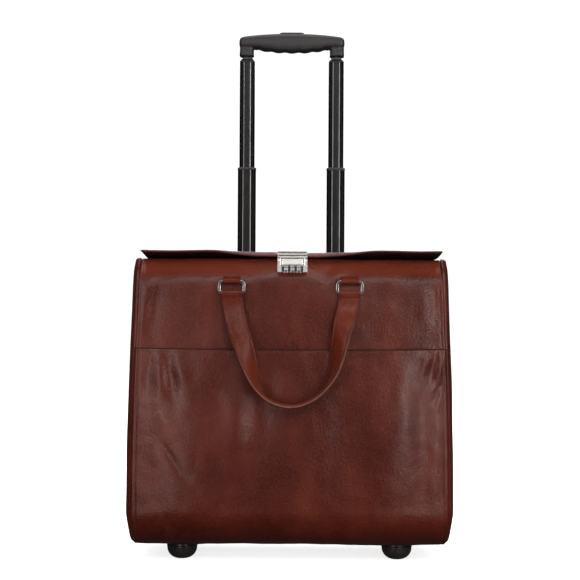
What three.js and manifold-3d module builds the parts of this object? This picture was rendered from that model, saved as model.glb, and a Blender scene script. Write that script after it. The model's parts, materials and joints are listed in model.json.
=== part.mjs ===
// A pilot's rolling flight case in leather: a soft-sided body with a front slip pocket, a lid with a
// combination lock, two grab handles on rings, and a telescopic trolley handle with two wheels.
// Millimetres, +Z up, the front faces -Y. The origin is on the floor, under the middle of the case.
import * as THREE from "three";
import { mergeVertices } from "three/addons/utils/BufferGeometryUtils.js";
import Module from "manifold-3d";

const wasm = await Module();
wasm.setup();

// ---- Driving dimensions -------------------------------------------------------------------------

const GAP = 0.3; // between pieces that touch

// Leather body
const FRONT_Y = -97;
const BACK_Y = 97;
const BOTTOM_Z = 26;
const FRONT_RADIUS = 52; // where the front wraps under
const BACK_RADIUS = 18;
const FOLD_Z = 381; // the front leans back above this line
const SHOULDER_Z = 410;
const SHOULDER_DEPTH = 34; // how far the shoulder leans back at its ends
const SHOULDER_PULL = 26; // how far the lock draws its middle forward again
const BACK_TOP_Z = 404;
const HALF_LOW = 212.5;
const HALF_HIGH = 203;
const FLARE_Z = 120; // the sides are parallel below this height
const LEATHER = 3;
const GUSSET_BULGE = 5.5;

// Front pocket
const POCKET_Z = 292.6;
const POCKET_SKIN = 2.3;
const POCKET_FILL = 6.6;
const POCKET_START = 72; // degrees round the bottom bend where its seam lies

// Compartments
const WALL_Y = 58;
const WALL_SKIN = 2.5;
const WALL_Z = 408;
const LINING_INSET = 5.5;
const LINING_SKIN = 0.8;
const LINING_Z = 386;

// Lid
const LID_HALF = 200;
const LID_Z = 413;
const LID_SKIN = 3;
const LID_FRONT_Y = -104;
const LID_BACK_Y = 56;
const LID_BEND_Y = -50; // the lid curls up in front of this line
const LID_RISE = 6;

// Lock
const LOCK_X = 2;
const LOCK_HALF = 19.5;
const LOCK_FACE_Y = -110;
const LOCK_Z = [393.6, 411.6];
const DIAL = { y: -106, z: 397, radius: 4.6, width: 5.4, pitch: 8.4, sides: 20 };

// Grab handles
const RING = { x: 78, y: 102.2, z: 381.2, width: 36.6, height: 18.6, wire: 1.6 };
const TAB = { width: 22, skin: 2.6, top: 388, lift: 1.2 };
const STRAP = { width: 28, thick: 6, loopWidth: 26.5, loopRadius: 4.4, clear: 107.4 };

// Trolley handle: outer sizes along X and Y, and wall
const TROLLEY = { x: 65.5, y: 82 };
const OUTER = { x: 31, y: 21, wall: 1.4, z: [40.6, 398] };
const STAGE_A = { x: 26.6, y: 16.6, wall: 1.2, z: [200, 546.3] };
const STAGE_B = { x: 22.4, y: 12.6, wall: 1.2, z: [364.8, 705.5] };
const BUSH_HEIGHT = 4;
const GRIP = { half: 77.5, top: 748, arch: 4.4, under: 722, legs: 713.5, depth: 13 };
const FINGER_PITCH = 20;
const ROD_RADIUS = 2;

// Wheels and feet
const WHEEL = { x: 165, y: 90, radius: 25, hub: 18.4, half: 11, axle: 3 };
const HOUSING = { half: 17, cavity: 12.4, clear: 27.5 };
const FOOT = { x: 148, y: -28, radius: 21.2, dome: 16, flat: 5 };

// ---- Materials ----------------------------------------------------------------------------------

const material = (color, roughness, metalness = 0) =>
  new THREE.MeshStandardMaterial({ color, roughness, metalness });
const LEATHER_BROWN = material(0x5a2a20, 0.4);
const STRAP_BROWN = material(0x6a3020, 0.38);
const BLACK_PLASTIC = material(0x1c1c1e, 0.45);
const BLACK_RUBBER = material(0x121212, 0.8);
const BLACK_TUBE = material(0x26272a, 0.35, 0.6);
const NICKEL = material(0xd0cec9, 0.22, 1);
const STEEL = material(0x8d9094, 0.35, 1);
const LINING_CLOTH = material(0x3a2f2a, 0.9);
const BOARD = material(0x2b2624, 0.8);

// ---- Shape helpers ------------------------------------------------------------------------------

const point = (x, y, z) => new THREE.Vector3(x, y, z);
const clamp01 = (t) => Math.min(1, Math.max(0, t));
const mix = (a, b, t) => a + (b - a) * t;

// n + 1 even steps from a to b.
const steps = (a, b, n) => Array.from({ length: n + 1 }, (_, i) => mix(a, b, i / n));

// A closed mesh from points and triangles, with its faces turned outwards.
function closedMesh(points, triangles) {
  let volume = 0;
  for (const [a, b, c] of triangles) {
    volume += points[a].dot(points[b].clone().cross(points[c]));
  }
  const facing = volume < 0 ? triangles.map(([a, b, c]) => [a, c, b]) : triangles;
  const geometry = new THREE.BufferGeometry().setFromPoints(points);
  geometry.setIndex(facing.flat());
  return geometry;
}

// A thin panel between two grids of points, rows of equal length, closed round its rim.
function panel(outer, inner) {
  const rows = outer.length;
  const columns = outer[0].length;
  const at = (side, row, column) => (side * rows + row) * columns + column;
  const triangles = [];
  const quad = (a, b, c, d) => triangles.push([a, b, c], [a, c, d]);
  for (let r = 0; r + 1 < rows; r++) {
    for (let c = 0; c + 1 < columns; c++) {
      quad(at(0, r, c), at(0, r, c + 1), at(0, r + 1, c + 1), at(0, r + 1, c));
      quad(at(1, r, c), at(1, r + 1, c), at(1, r + 1, c + 1), at(1, r, c + 1));
    }
    quad(at(0, r, 0), at(0, r + 1, 0), at(1, r + 1, 0), at(1, r, 0));
    quad(at(0, r + 1, columns - 1), at(0, r, columns - 1), at(1, r, columns - 1), at(1, r + 1, columns - 1));
  }
  for (let c = 0; c + 1 < columns; c++) {
    quad(at(0, 0, c + 1), at(0, 0, c), at(1, 0, c), at(1, 0, c + 1));
    quad(at(0, rows - 1, c), at(0, rows - 1, c + 1), at(1, rows - 1, c + 1), at(1, rows - 1, c));
  }
  return closedMesh([...outer.flat(), ...inner.flat()], triangles);
}

// A body through a run of convex cross-sections, or a ring that closes on itself.
function loft(sections, closed = false) {
  const n = sections[0].length;
  const count = sections.length;
  const triangles = [];
  for (let i = 0; i < (closed ? count : count - 1); i++) {
    for (let j = 0; j < n; j++) {
      const [a, b] = [i * n + j, i * n + ((j + 1) % n)];
      const [c, d] = [((i + 1) % count) * n + j, ((i + 1) % count) * n + ((j + 1) % n)];
      triangles.push([a, b, d], [a, d, c]);
    }
  }
  if (!closed) {
    const last = (count - 1) * n;
    for (let j = 1; j + 1 < n; j++) {
      triangles.push([0, j + 1, j], [last, last + j, last + j + 1]);
    }
  }
  return closedMesh(sections.flat(), triangles);
}

// Points round a rectangle with rounded corners, centred on the origin of its plane.
function roundedRing(width, height, radius, corner = 3) {
  const ring = [];
  [[1, 1], [-1, 1], [-1, -1], [1, -1]].forEach(([sx, sy], quarter) => {
    for (const t of steps(0, Math.PI / 2, corner)) {
      const angle = (quarter * Math.PI) / 2 + t;
      const [cx, cy] = [sx * (width / 2 - radius), sy * (height / 2 - radius)];
      ring.push([cx + radius * Math.cos(angle), cy + radius * Math.sin(angle)]);
    }
  });
  return ring;
}

const box = ([x0, x1], [y0, y1], [z0, z1]) =>
  new THREE.BoxGeometry(x1 - x0, y1 - y0, z1 - z0).translate((x0 + x1) / 2, (y0 + y1) / 2, (z0 + z1) / 2);

const cylinderX = (radius, length, sides, x, y, z) =>
  new THREE.CylinderGeometry(radius, radius, length, sides).rotateZ(Math.PI / 2).translate(x, y, z);

const cylinderY = (radius, length, sides, x, y, z) =>
  new THREE.CylinderGeometry(radius, radius, length, sides).translate(x, y, z);

const cylinderZ = (radius, [z0, z1], sides, x, y) =>
  new THREE.CylinderGeometry(radius, radius, z1 - z0, sides).rotateX(Math.PI / 2).translate(x, y, (z0 + z1) / 2);

// A rounded bar or tube standing along Z.
function post(x, y, [z0, z1], [width, depth], radius, wall = 0) {
  const shape = new THREE.Shape(roundedRing(width, depth, radius).map(([a, b]) => new THREE.Vector2(a, b)));
  if (wall) {
    const bore = roundedRing(width - 2 * wall, depth - 2 * wall, Math.max(radius - wall, 0.6));
    shape.holes.push(new THREE.Path(bore.map(([a, b]) => new THREE.Vector2(a, b))));
  }
  return new THREE.ExtrudeGeometry(shape, { depth: z1 - z0, bevelEnabled: false }).translate(x, y, z0);
}

// A profile in the YZ plane, pulled along X.
function prismX(profile, [x0, x1]) {
  return loft([x0, x1].map((x) => profile.map(([y, z]) => point(x, y, z))));
}

// ---- Booleans -----------------------------------------------------------------------------------

function solid(geometry) {
  const bare = geometry.clone();
  bare.deleteAttribute("normal");
  bare.deleteAttribute("uv");
  const merged = mergeVertices(bare, 1e-4);
  return new wasm.Manifold(
    new wasm.Mesh({
      numProp: 3,
      vertProperties: merged.attributes.position.array,
      triVerts: new Uint32Array(merged.index.array),
    }),
  );
}

function geometryOf(manifold) {
  const mesh = manifold.getMesh();
  const geometry = new THREE.BufferGeometry();
  geometry.setAttribute("position", new THREE.BufferAttribute(mesh.vertProperties, 3));
  geometry.setIndex(new THREE.BufferAttribute(mesh.triVerts, 1));
  return geometry;
}

const joined = (...parts) => geometryOf(parts.map(solid).reduce((a, b) => a.add(b)));
const cut = (base, ...tools) => geometryOf(tools.map(solid).reduce((a, b) => a.subtract(b), solid(base)));

// ---- The scene graph ----------------------------------------------------------------------------

const flightCase = new THREE.Group();

function add(name, geometry, surface) {
  const mesh = new THREE.Mesh(geometry, surface);
  mesh.name = name;
  flightCase.add(mesh);
}

// One copy on each side, made by a function of the side's sign.
function addPair(name, surface, make) {
  add(`${name}_left`, make(-1), surface);
  add(`${name}_right`, make(1), surface);
}

// ---- The body's outline -------------------------------------------------------------------------

// Half the width of the front and back panels at a height.
function halfWidth(z) {
  const t = clamp01((z - FLARE_Z) / (SHOULDER_Z - FLARE_Z));
  return HALF_LOW - (HALF_LOW - HALF_HIGH) * t ** 1.35;
}

// How strongly the lock draws the shoulder forward, 1 at the middle and 0 at the ends.
const lockPull = (x) => Math.exp(-((x / 85) ** 2));

// The front's Y at a height and a place across, set back by inset from the outer face.
function frontY(z, inset = 0, x = HALF_LOW) {
  const centre = BOTTOM_Z + FRONT_RADIUS;
  if (z < centre) {
    const r = FRONT_RADIUS - inset;
    return FRONT_Y + FRONT_RADIUS - Math.sqrt(Math.max(0, r * r - (centre - z) ** 2));
  }
  if (z <= FOLD_Z) {
    return FRONT_Y + inset;
  }
  const slope = (SHOULDER_DEPTH - SHOULDER_PULL * lockPull(x)) / (SHOULDER_Z - FOLD_Z);
  return FRONT_Y + inset * Math.hypot(1, slope) + (z - FOLD_Z) * slope;
}

function backY(z, inset = 0) {
  const centre = BOTTOM_Z + BACK_RADIUS;
  if (z >= centre) {
    return BACK_Y - inset;
  }
  const r = BACK_RADIUS - inset;
  return BACK_Y - BACK_RADIUS + Math.sqrt(Math.max(0, r * r - (centre - z) ** 2));
}

// Points of the front's section from underneath to a height, set back by inset.
function frontSection(inset, top, x = HALF_LOW, start = 90) {
  const r = FRONT_RADIUS - inset;
  const [cy, cz] = [FRONT_Y + FRONT_RADIUS, BOTTOM_Z + FRONT_RADIUS];
  const angles = steps(THREE.MathUtils.degToRad(start), 0, 8);
  const bend = angles.map((a) => [cy - r * Math.cos(a), cz - r * Math.sin(a)]);
  const flat = [FLARE_Z, 180, 240].map((z) => [FRONT_Y + inset, z]);
  const rest = [Math.min(top, FOLD_Z), ...(top > FOLD_Z ? [mix(FOLD_Z, top, 0.5), top] : [])];
  return [...bend, ...flat, ...rest.map((z) => [frontY(z, inset, x), z])];
}

// ---- Leather shell ------------------------------------------------------------------------------

const across = steps(-1, 1, 14);

// Rows and columns of points, each from a column's place across (-1 to 1) and its section there.
function grid(sectionAt, halfAt) {
  const columns = across.map((u) => sectionAt(u).map(([y, z]) => point(u * halfAt(z), y, z)));
  return columns[0].map((_, row) => columns.map((column) => column[row]));
}

function frontPanel() {
  const face = (inset) => grid((u) => frontSection(inset, SHOULDER_Z, u * HALF_HIGH), halfWidth);
  return panel(face(0), face(LEATHER));
}

// The pocket stands off the front by its fill, less towards its sides and its bottom.
function frontPocket() {
  const rows = frontSection(0, POCKET_Z).length;
  const fill = (u, row) => POCKET_FILL * (1 - Math.abs(u) ** 6) * (1 - (1 - row / (rows - 1)) ** 3);
  const section = (u, standOff) =>
    Array.from(
      { length: rows },
      (_, row) => frontSection(-standOff - fill(u, row), POCKET_Z, HALF_LOW, POCKET_START)[row],
    );
  const face = (standOff) => grid((u) => section(u, standOff), (z) => halfWidth(z) - 1);
  return panel(face(GAP + POCKET_SKIN), face(GAP));
}

function wheelHousingBlock(side, grow = 0) {
  const profile = [[63, 17], [97, 17], [103, 24], [104, 46], [98, 57], [63, 57]];
  const centre = profile.reduce(([a, b], [y, z]) => [a + y / 6, b + z / 6], [0, 0]);
  const grown = profile.map(([y, z]) => [y + Math.sign(y - centre[0]) * grow, z + Math.sign(z - centre[1]) * grow]);
  const x = side * WHEEL.x;
  return prismX(grown, [x - HOUSING.half - grow, x + HOUSING.half + grow]);
}

function backPanel() {
  const bend = (inset) =>
    steps(0, Math.PI / 2, 5).map((a) => {
      const r = BACK_RADIUS - inset;
      return [BACK_Y - BACK_RADIUS + r * Math.sin(a), BOTTOM_Z + BACK_RADIUS - r * Math.cos(a)];
    });
  const face = (inset) =>
    [...bend(inset), ...[FLARE_Z, 190, 260, 330, BACK_TOP_Z].map((z) => [BACK_Y - inset, z])].map(([y, z]) =>
      [-1, 1].map((u) => point(u * halfWidth(z), y, z)),
    );
  const clearance = 0.4;
  return cut(
    panel(face(0), face(LEATHER)),
    wheelHousingBlock(-1, clearance),
    wheelHousingBlock(1, clearance),
  );
}

function basePanel() {
  const clearance = 0.4;
  const half = halfWidth(BOTTOM_Z);
  const y = [FRONT_Y + FRONT_RADIUS + GAP, BACK_Y - BACK_RADIUS - GAP];
  const slab = box([-half, half], y, [BOTTOM_Z, BOTTOM_Z + 4]);
  return cut(slab, wheelHousingBlock(-1, clearance), wheelHousingBlock(1, clearance));
}

// A side between the front and the back, bulging a little past their edges.
function gusset(side) {
  const inset = LEATHER + GAP;
  const low = BOTTOM_Z + 4 + GAP;
  const heights = [low, 36, 52, 78, FLARE_Z, 180, 240, 300, 350, FOLD_Z, 393, BACK_TOP_Z];
  const face = (sunk) =>
    heights.map((z) =>
      [0, 0.05, 0.13, 0.28, 0.5, 0.72, 0.87, 0.95, 1].map((t) => {
        const y = mix(frontY(z, inset), backY(z, inset), t);
        const bulge = GUSSET_BULGE * (1 - (2 * t - 1) ** 6) * clamp01((z - low) / 40);
        return point(side * (halfWidth(z) + bulge - sunk), y, z);
      }),
    );
  return panel(face(0), face(LEATHER));
}

add("front_panel", frontPanel(), LEATHER_BROWN);
add("front_pocket", frontPocket(), LEATHER_BROWN);
add("back_panel", backPanel(), LEATHER_BROWN);
add("base_panel", basePanel(), LEATHER_BROWN);
addPair("gusset", LEATHER_BROWN, gusset);

// ---- Inside -------------------------------------------------------------------------------------

function innerBackWall() {
  const heights = [BOTTOM_Z + 4 + GAP, FLARE_Z, 190, 260, 330, WALL_Z];
  const face = (y) => heights.map((z) => [-1, 1].map((u) => point(u * (halfWidth(z) - LEATHER - GAP), y, z)));
  return panel(face(WALL_Y), face(WALL_Y + WALL_SKIN));
}

// A bag of cloth that lines the main compartment and is open at the top.
function lining() {
  const bag = (inset, low, top) =>
    loft(
      [low, 36, 52, 78, FLARE_Z, 260, FOLD_Z, top].map((z) => {
        const half = halfWidth(Math.min(z, SHOULDER_Z)) - LEATHER - GAP - inset;
        const [front, back] = [frontY(z, LINING_INSET + inset), WALL_Y - GAP - inset];
        return [point(-half, front, z), point(half, front, z), point(half, back, z), point(-half, back, z)];
      }),
    );
  const low = BOTTOM_Z + 4 + GAP;
  return cut(bag(0, low, LINING_Z), bag(LINING_SKIN, low + LINING_SKIN, LINING_Z + 10));
}

// The spring-steel bar that keeps the front edge straight, behind the shoulder.
function frontEdgeBar() {
  const sections = (inset) => (u) => [388, 396, 407].map((z) => [frontY(z, inset, u * 190), z]);
  const face = (inset) => grid(sections(inset), () => 190);
  return panel(face(LEATHER + 0.8), face(LEATHER + 2.4));
}

function dividerPad() {
  const ring = roundedRing(380, 274, 16).map(([x, z]) => new THREE.Vector2(x, z));
  const pad = new THREE.ExtrudeGeometry(new THREE.Shape(ring), { depth: 6, bevelEnabled: false });
  return pad.rotateX(Math.PI / 2).translate(0, 32, BOTTOM_Z + 6 + 137);
}

add("inner_back_wall", innerBackWall(), BOARD);
add("lining", lining(), LINING_CLOTH);
add("front_edge_bar", frontEdgeBar(), STEEL);
add("divider_pad", dividerPad(), LINING_CLOTH);
add("laptop_strap", box([-20, 20], [54.6, 56.4], [235, 330]), LEATHER_BROWN);
add("hinge_strip", box([-195, 195], [61, 62.4], [390, 409]), LEATHER_BROWN);

// ---- Lid ----------------------------------------------------------------------------------------

// The lid's height over the flat at a place: its front curls up, but not where the lock holds it.
function lidRise(x, y) {
  const t = clamp01((LID_BEND_Y - y) / (LID_BEND_Y - LID_FRONT_Y));
  return LID_RISE * t ** 1.4 * (1 - Math.exp(-((x / 70) ** 4)));
}

function lidSheet(half, low, high, frontGap) {
  const places = [LID_BACK_Y, 0, LID_BEND_Y, -65, -80, -92, LID_FRONT_Y + frontGap];
  const face = (z) => places.map((y) => across.map((u) => point(u * half, y, z + lidRise(u * half, y))));
  return panel(face(high), face(low));
}

const hasp = { y: [-111, -101], z: [412.4, 421.4] };
const haspSlot = box([LOCK_X - LOCK_HALF - 0.7, LOCK_X + LOCK_HALF + 0.7], [-120, -100.6], [405, 425]);

function lidHasp() {
  const x = [LOCK_X - LOCK_HALF, LOCK_X + LOCK_HALF];
  const front = box(x, hasp.y, hasp.z);
  const plate = box([x[0] + 0.4, x[1] - 0.4], [-101.5, -86], [416.5, 418.3]);
  const tongue = box([LOCK_X - 8, LOCK_X + 8], [-104, -101.5], [405.5, 413]);
  const grooves = [414.6, 418.2].map((z) => box([x[0] - 1, x[1] + 1], [-112, -110.2], [z, z + 1.2]));
  return cut(joined(front, plate, tongue), ...grooves);
}

add("lid_panel", cut(lidSheet(LID_HALF, LID_Z, LID_Z + LID_SKIN, 0), haspSlot), LEATHER_BROWN);
add("lid_lining", cut(lidSheet(LID_HALF - 3, LID_Z - 1.2, LID_Z - 0.4, 3), haspSlot), LINING_CLOTH);
add("lid_hasp", lidHasp(), NICKEL);

// ---- Lock ---------------------------------------------------------------------------------------

const dialPlaces = [-1, 0, 1].map((i) => LOCK_X + i * DIAL.pitch);

function lockBase() {
  const back = (z) => frontY(z, -0.5, LOCK_X);
  const profile = [
    [LOCK_FACE_Y, LOCK_Z[0]],
    [LOCK_FACE_Y, LOCK_Z[1]],
    [back(SHOULDER_Z), LOCK_Z[1]],
    [back(LOCK_Z[0]), LOCK_Z[0]],
  ];
  const block = prismX(profile, [LOCK_X - LOCK_HALF, LOCK_X + LOCK_HALF]);
  const plateWell = box([LOCK_X - 14.7, LOCK_X + 14.7], [-112, -105], [402.5, 411]);
  const tongueSlot = box([LOCK_X - 8.7, LOCK_X + 8.7], [-104.7, -100.8], [404.5, 413]);
  const dialWells = dialPlaces.map((x) =>
    cylinderX(DIAL.radius + 0.5, DIAL.width + 0.8, DIAL.sides, x, DIAL.y, DIAL.z),
  );
  const axleBore = cylinderX(1.55, 34.6, 12, LOCK_X, DIAL.y, DIAL.z);
  return cut(block, plateWell, tongueSlot, ...dialWells, axleBore);
}

add("lock_base", lockBase(), NICKEL);
add("lock_push_plate", box([LOCK_X - 14.2, LOCK_X + 14.2], [-111, -108], [402.9, 410.6]), NICKEL);
add("dial_axle", cylinderX(1.2, 34, 12, LOCK_X, DIAL.y, DIAL.z), STEEL);
dialPlaces.forEach((x, i) => {
  const disc = cylinderX(DIAL.radius, DIAL.width, DIAL.sides, x, DIAL.y, DIAL.z);
  const bore = cylinderX(1.6, DIAL.width + 2, 12, x, DIAL.y, DIAL.z);
  add(`dial_${i + 1}`, cut(disc, bore), NICKEL);
});

// ---- Grab handles: facing -1 is the front one and 1 the rear one ---------------------------------

const faceName = { "-1": "front", 1: "rear" };

// A rectangular ring with its corners cut, hanging in the plane of its pivot.
function ring(facing, side) {
  const [w, h] = [RING.width / 2 - RING.wire, RING.height / 2 - RING.wire];
  const chamfer = 3.2;
  const corners = [[w - chamfer, h], [w, h - chamfer], [w, chamfer - h], [w - chamfer, -h]];
  const loop = [...corners, ...corners.map(([x, z]) => [-x, -z])];
  const [cx, cz] = [side * RING.x, RING.z - h];
  const sections = loop.map(([x, z], i) => {
    const [px, pz] = loop[(i + loop.length - 1) % loop.length];
    const [nx, nz] = loop[(i + 1) % loop.length];
    const into = new THREE.Vector2(x - px, z - pz).normalize();
    const out = new THREE.Vector2(nx - x, nz - z).normalize();
    const along = into.clone().add(out).normalize();
    const stretch = 1 / Math.sqrt((1 + into.dot(out)) / 2);
    return steps(0, 2 * Math.PI, 8).slice(0, 8).map((a) => {
      const off = RING.wire * Math.cos(a) * stretch;
      return point(cx + x + along.y * off, facing * RING.y + RING.wire * Math.sin(a), cz + z - along.x * off);
    });
  });
  return loft(sections, true);
}

// The leather tab that is sewn to the panel and wraps the ring's upper bar.
function ringTab(facing, side) {
  const x = [side * RING.x - TAB.width / 2, side * RING.x + TAB.width / 2];
  const surface = (z, off) => (facing < 0 ? frontY(z, -off, RING.x) : backY(z, -off));
  const face = (off) =>
    [RING.z - 1, RING.z + 2, TAB.top].map((z) => x.map((at) => point(at, surface(z, off), z)));
  const [pivotX, pivotY] = [side * RING.x, facing * RING.y];
  const wrap = cylinderX(RING.wire + 2.5, TAB.width, 16, pivotX, pivotY, RING.z);
  const bore = cylinderX(RING.wire + 0.45, TAB.width + 2, 16, pivotX, pivotY, RING.z);
  return cut(joined(panel(face(TAB.lift + TAB.skin), face(TAB.lift)), wrap), bore);
}

// Half of the strap's middle line from a ring to the bottom of the loop: place across, height, twist.
const strapHalf = [
  [78, 359, 0],
  [76, 350, 0],
  [71.5, 333, 4],
  [66.5, 311, 12],
  [60.5, 290, 25],
  [53, 268, 44],
  [42, 243.5, 66],
  [24, 226, 83],
  [0, 219.5, 90],
];

// The strap hangs as a U: flat to the panel at its rings, and edge-on at its bottom, where its outer edge
// has turned forwards.
function strap(facing) {
  const route = [...strapHalf.map(([x, z, t]) => [-x, z, t]), ...strapHalf.slice(0, -1).reverse()];
  const line = new THREE.CatmullRomCurve3(route.map(([x, z]) => point(x, 0, z)));
  const twist = new THREE.CatmullRomCurve3(route.map(([, , t]) => point(t, 0, 0)));
  const sections = steps(0, 1, 36).map((t) => {
    const at = line.getPoint(t);
    const along = line.getTangent(t);
    const inward = point(-along.z, 0, along.x);
    const turn = THREE.MathUtils.degToRad(twist.getPoint(t).x);
    const wide = inward.multiplyScalar(Math.cos(turn)).add(point(0, -facing * Math.sin(turn), 0));
    const thin = along.clone().cross(wide);
    const reach = (STRAP.width / 2) * Math.sin(turn) + (STRAP.thick / 2) * Math.cos(turn);
    at.y = facing * mix(RING.y, STRAP.clear + reach, THREE.MathUtils.smoothstep(359 - at.z, 0, 56));
    return roundedRing(STRAP.width, STRAP.thick, 2.2, 1).map(([a, b]) =>
      at.clone().addScaledVector(wide, a).addScaledVector(thin, b),
    );
  });
  const barZ = RING.z - RING.height + 2 * RING.wire;
  const ends = [-1, 1].flatMap((side) => [
    cylinderX(STRAP.loopRadius, STRAP.loopWidth, 16, side * RING.x, facing * RING.y, barZ),
    box(
      [side * RING.x - STRAP.loopWidth / 2, side * RING.x + STRAP.loopWidth / 2],
      [facing * RING.y - STRAP.thick / 2, facing * RING.y + STRAP.thick / 2],
      [355, barZ - 2.5],
    ),
  ]);
  const bores = [-1, 1].map((side) =>
    cylinderX(RING.wire + 0.45, STRAP.loopWidth + 8, 16, side * RING.x, facing * RING.y, barZ),
  );
  return cut(joined(loft(sections), ...ends), ...bores);
}

for (const facing of [-1, 1]) {
  addPair(`ring_tab_${faceName[facing]}`, STRAP_BROWN, (side) => ringTab(facing, side));
  addPair(`ring_${faceName[facing]}`, NICKEL, (side) => ring(facing, side));
  add(`strap_${faceName[facing]}`, strap(facing), STRAP_BROWN);
}

// ---- Trolley handle -----------------------------------------------------------------------------

const tube = (side, { x, y, wall, z }) => post(side * TROLLEY.x, TROLLEY.y, z, [x, y], 5, wall);

function trolleyBase() {
  const [low, high] = [BOTTOM_Z + 4 + GAP, OUTER.z[0] - GAP];
  const profile = [[64, low], [83.5, low], [92.8, high], [64, high]];
  const spigotHole = (side) => post(side * TROLLEY.x, TROLLEY.y, [high - 4, high + 1], [20, 12], 3);
  return cut(prismX(profile, [-98, 98]), spigotHole(-1), spigotHole(1));
}

// The plate that closes the trolley's well at the top, over its whole width, and guides the first stage.
function trolleyBezel() {
  const plate = post(0, 78.2, [OUTER.z[1] + GAP, BACK_TOP_Z], [398, 30.6], 4);
  const holes = [-1, 1].map((side) =>
    post(side * TROLLEY.x, TROLLEY.y, [390, 410], [STAGE_A.x + 0.8, STAGE_A.y + 0.8], 5.4),
  );
  return cut(plate, ...holes);
}

function stageBush(side) {
  const z = [STAGE_A.z[1] + GAP, STAGE_A.z[1] + BUSH_HEIGHT];
  const ring = post(side * TROLLEY.x, TROLLEY.y, z, [STAGE_A.x, STAGE_A.y], 5);
  const hole = post(side * TROLLEY.x, TROLLEY.y, [z[0] - 1, z[1] + 1], [STAGE_B.x + 0.7, STAGE_B.y + 0.7], 5.3);
  return cut(ring, hole);
}

const pinZ = 380;

function stageBTube(side) {
  return cut(tube(side, STAGE_B), cylinderY(2.7, 6, 12, side * TROLLEY.x, TROLLEY.y + STAGE_B.y / 2, pinZ));
}

// The stem that joins a tube to the grip: a plug in the tube, a chamfered cap and a narrow neck.
function gripStem(side) {
  const levels = [
    [690, 19.3, 9.5],
    [705.8, 19.3, 9.5],
    [705.81, STAGE_B.x, STAGE_B.y],
    [706.8, STAGE_B.x, STAGE_B.y],
    [709.8, 18, 9.6],
    [709.81, 15, 8.4],
    [GRIP.legs - GAP, 15, 8.4],
  ];
  const stem = loft(
    levels.map(([z, w, d]) =>
      roundedRing(w, d, 3, 2).map(([a, b]) => point(side * TROLLEY.x + a, TROLLEY.y + b, z)),
    ),
  );
  return cut(stem, cylinderZ(ROD_RADIUS + 0.5, [680, 720], 12, side * TROLLEY.x, TROLLEY.y));
}

// The grip's bar: arched on top, with finger grooves below, and a leg over each tube.
function grip() {
  const bar = loft(
    steps(-GRIP.half, GRIP.half, 36).map((x) => {
      const end = Math.abs(x) / GRIP.half;
      const top = GRIP.top - GRIP.arch * end ** 2 - 3.5 * clamp01((end - 0.93) / 0.07) ** 2;
      const groove = Math.abs(x) < 2 * FINGER_PITCH ? 1.8 * Math.abs(Math.cos((Math.PI * x) / (2 * FINGER_PITCH) * 2)) : 1.8;
      const under = GRIP.under - groove + 1.8;
      const [mid, tall] = [(top + under) / 2, (top - under) / 2];
      const deep = GRIP.depth * (1 - 0.25 * clamp01((end - 0.9) / 0.1) ** 2);
      return steps(0, 2 * Math.PI, 14).slice(0, 14).map((a) => {
        const [c, s] = [Math.cos(a), Math.sin(a)];
        const y = TROLLEY.y + deep * Math.sign(c) * Math.abs(c) ** 0.7;
        return point(x, y, mid + tall * Math.sign(s) * Math.abs(s) ** 0.7);
      });
    }),
  );
  const legs = [-1, 1].map((side) => post(side * TROLLEY.x + side * 0.8, TROLLEY.y, [GRIP.legs, 736], [21, 21], 6));
  const buttonWell = post(0, TROLLEY.y, [733.2, 760], [37.2, 13.2], 5);
  const barWell = box([-TROLLEY.x - 4, TROLLEY.x + 4], [TROLLEY.y - 4, TROLLEY.y + 4], [727, 737.6]);
  const rodWells = [-1, 1].map((side) => cylinderZ(ROD_RADIUS + 0.5, [700, 730], 12, side * TROLLEY.x, TROLLEY.y));
  return cut(joined(bar, ...legs), buttonWell, barWell, ...rodWells);
}

add("trolley_base", trolleyBase(), BLACK_PLASTIC);
add("trolley_bezel", trolleyBezel(), BLACK_PLASTIC);
addPair("outer_tube", BLACK_TUBE, (side) => tube(side, OUTER));
addPair("stage_a_tube", BLACK_TUBE, (side) => tube(side, STAGE_A));
addPair("stage_a_bush", BLACK_PLASTIC, stageBush);
addPair("stage_b_tube", BLACK_TUBE, stageBTube);
addPair("grip_stem", BLACK_PLASTIC, gripStem);
add("grip", grip(), BLACK_PLASTIC);
add("release_button", post(0, TROLLEY.y, [737.3, 749.5], [36, 12], 4.5), BLACK_PLASTIC);
add("release_bar", box([-TROLLEY.x - 3, TROLLEY.x + 3], [TROLLEY.y - 3, TROLLEY.y + 3], [732, 737]), STEEL);
addPair("release_rod", STEEL, (side) => cylinderZ(ROD_RADIUS, [384, 731.7], 10, side * TROLLEY.x, TROLLEY.y));
addPair("lock_pin", STEEL, (side) => cylinderY(2.3, 4.4, 12, side * TROLLEY.x, TROLLEY.y + 4.6, pinZ));

// ---- Wheels and feet ----------------------------------------------------------------------------

function wheelHousing(side) {
  const x = side * WHEEL.x;
  const arch = cylinderX(HOUSING.clear, 2 * HOUSING.cavity, 28, x, WHEEL.y, WHEEL.radius);
  const bore = cylinderX(WHEEL.axle + 0.4, 60, 16, x, WHEEL.y, WHEEL.radius);
  return cut(wheelHousingBlock(side), arch, bore);
}

// A profile of radius and place along the axis, turned about the wheel's axis.
function turned(profile, sides, x) {
  const points = profile.map(([r, along]) => new THREE.Vector2(r, along));
  const lathe = new THREE.LatheGeometry([...points, points[0].clone()], sides);
  return lathe.rotateZ(Math.PI / 2).translate(x, WHEEL.y, WHEEL.radius);
}

function tyre(side) {
  const { radius, hub, half } = WHEEL;
  const crown = [[hub, -half + 1], [22, -half], [24.2, -half + 2], [radius, -4], [radius, 4]];
  return turned([...crown, [24.2, half - 2], [22, half], [hub, half - 1]], 32, side * WHEEL.x);
}

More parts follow.
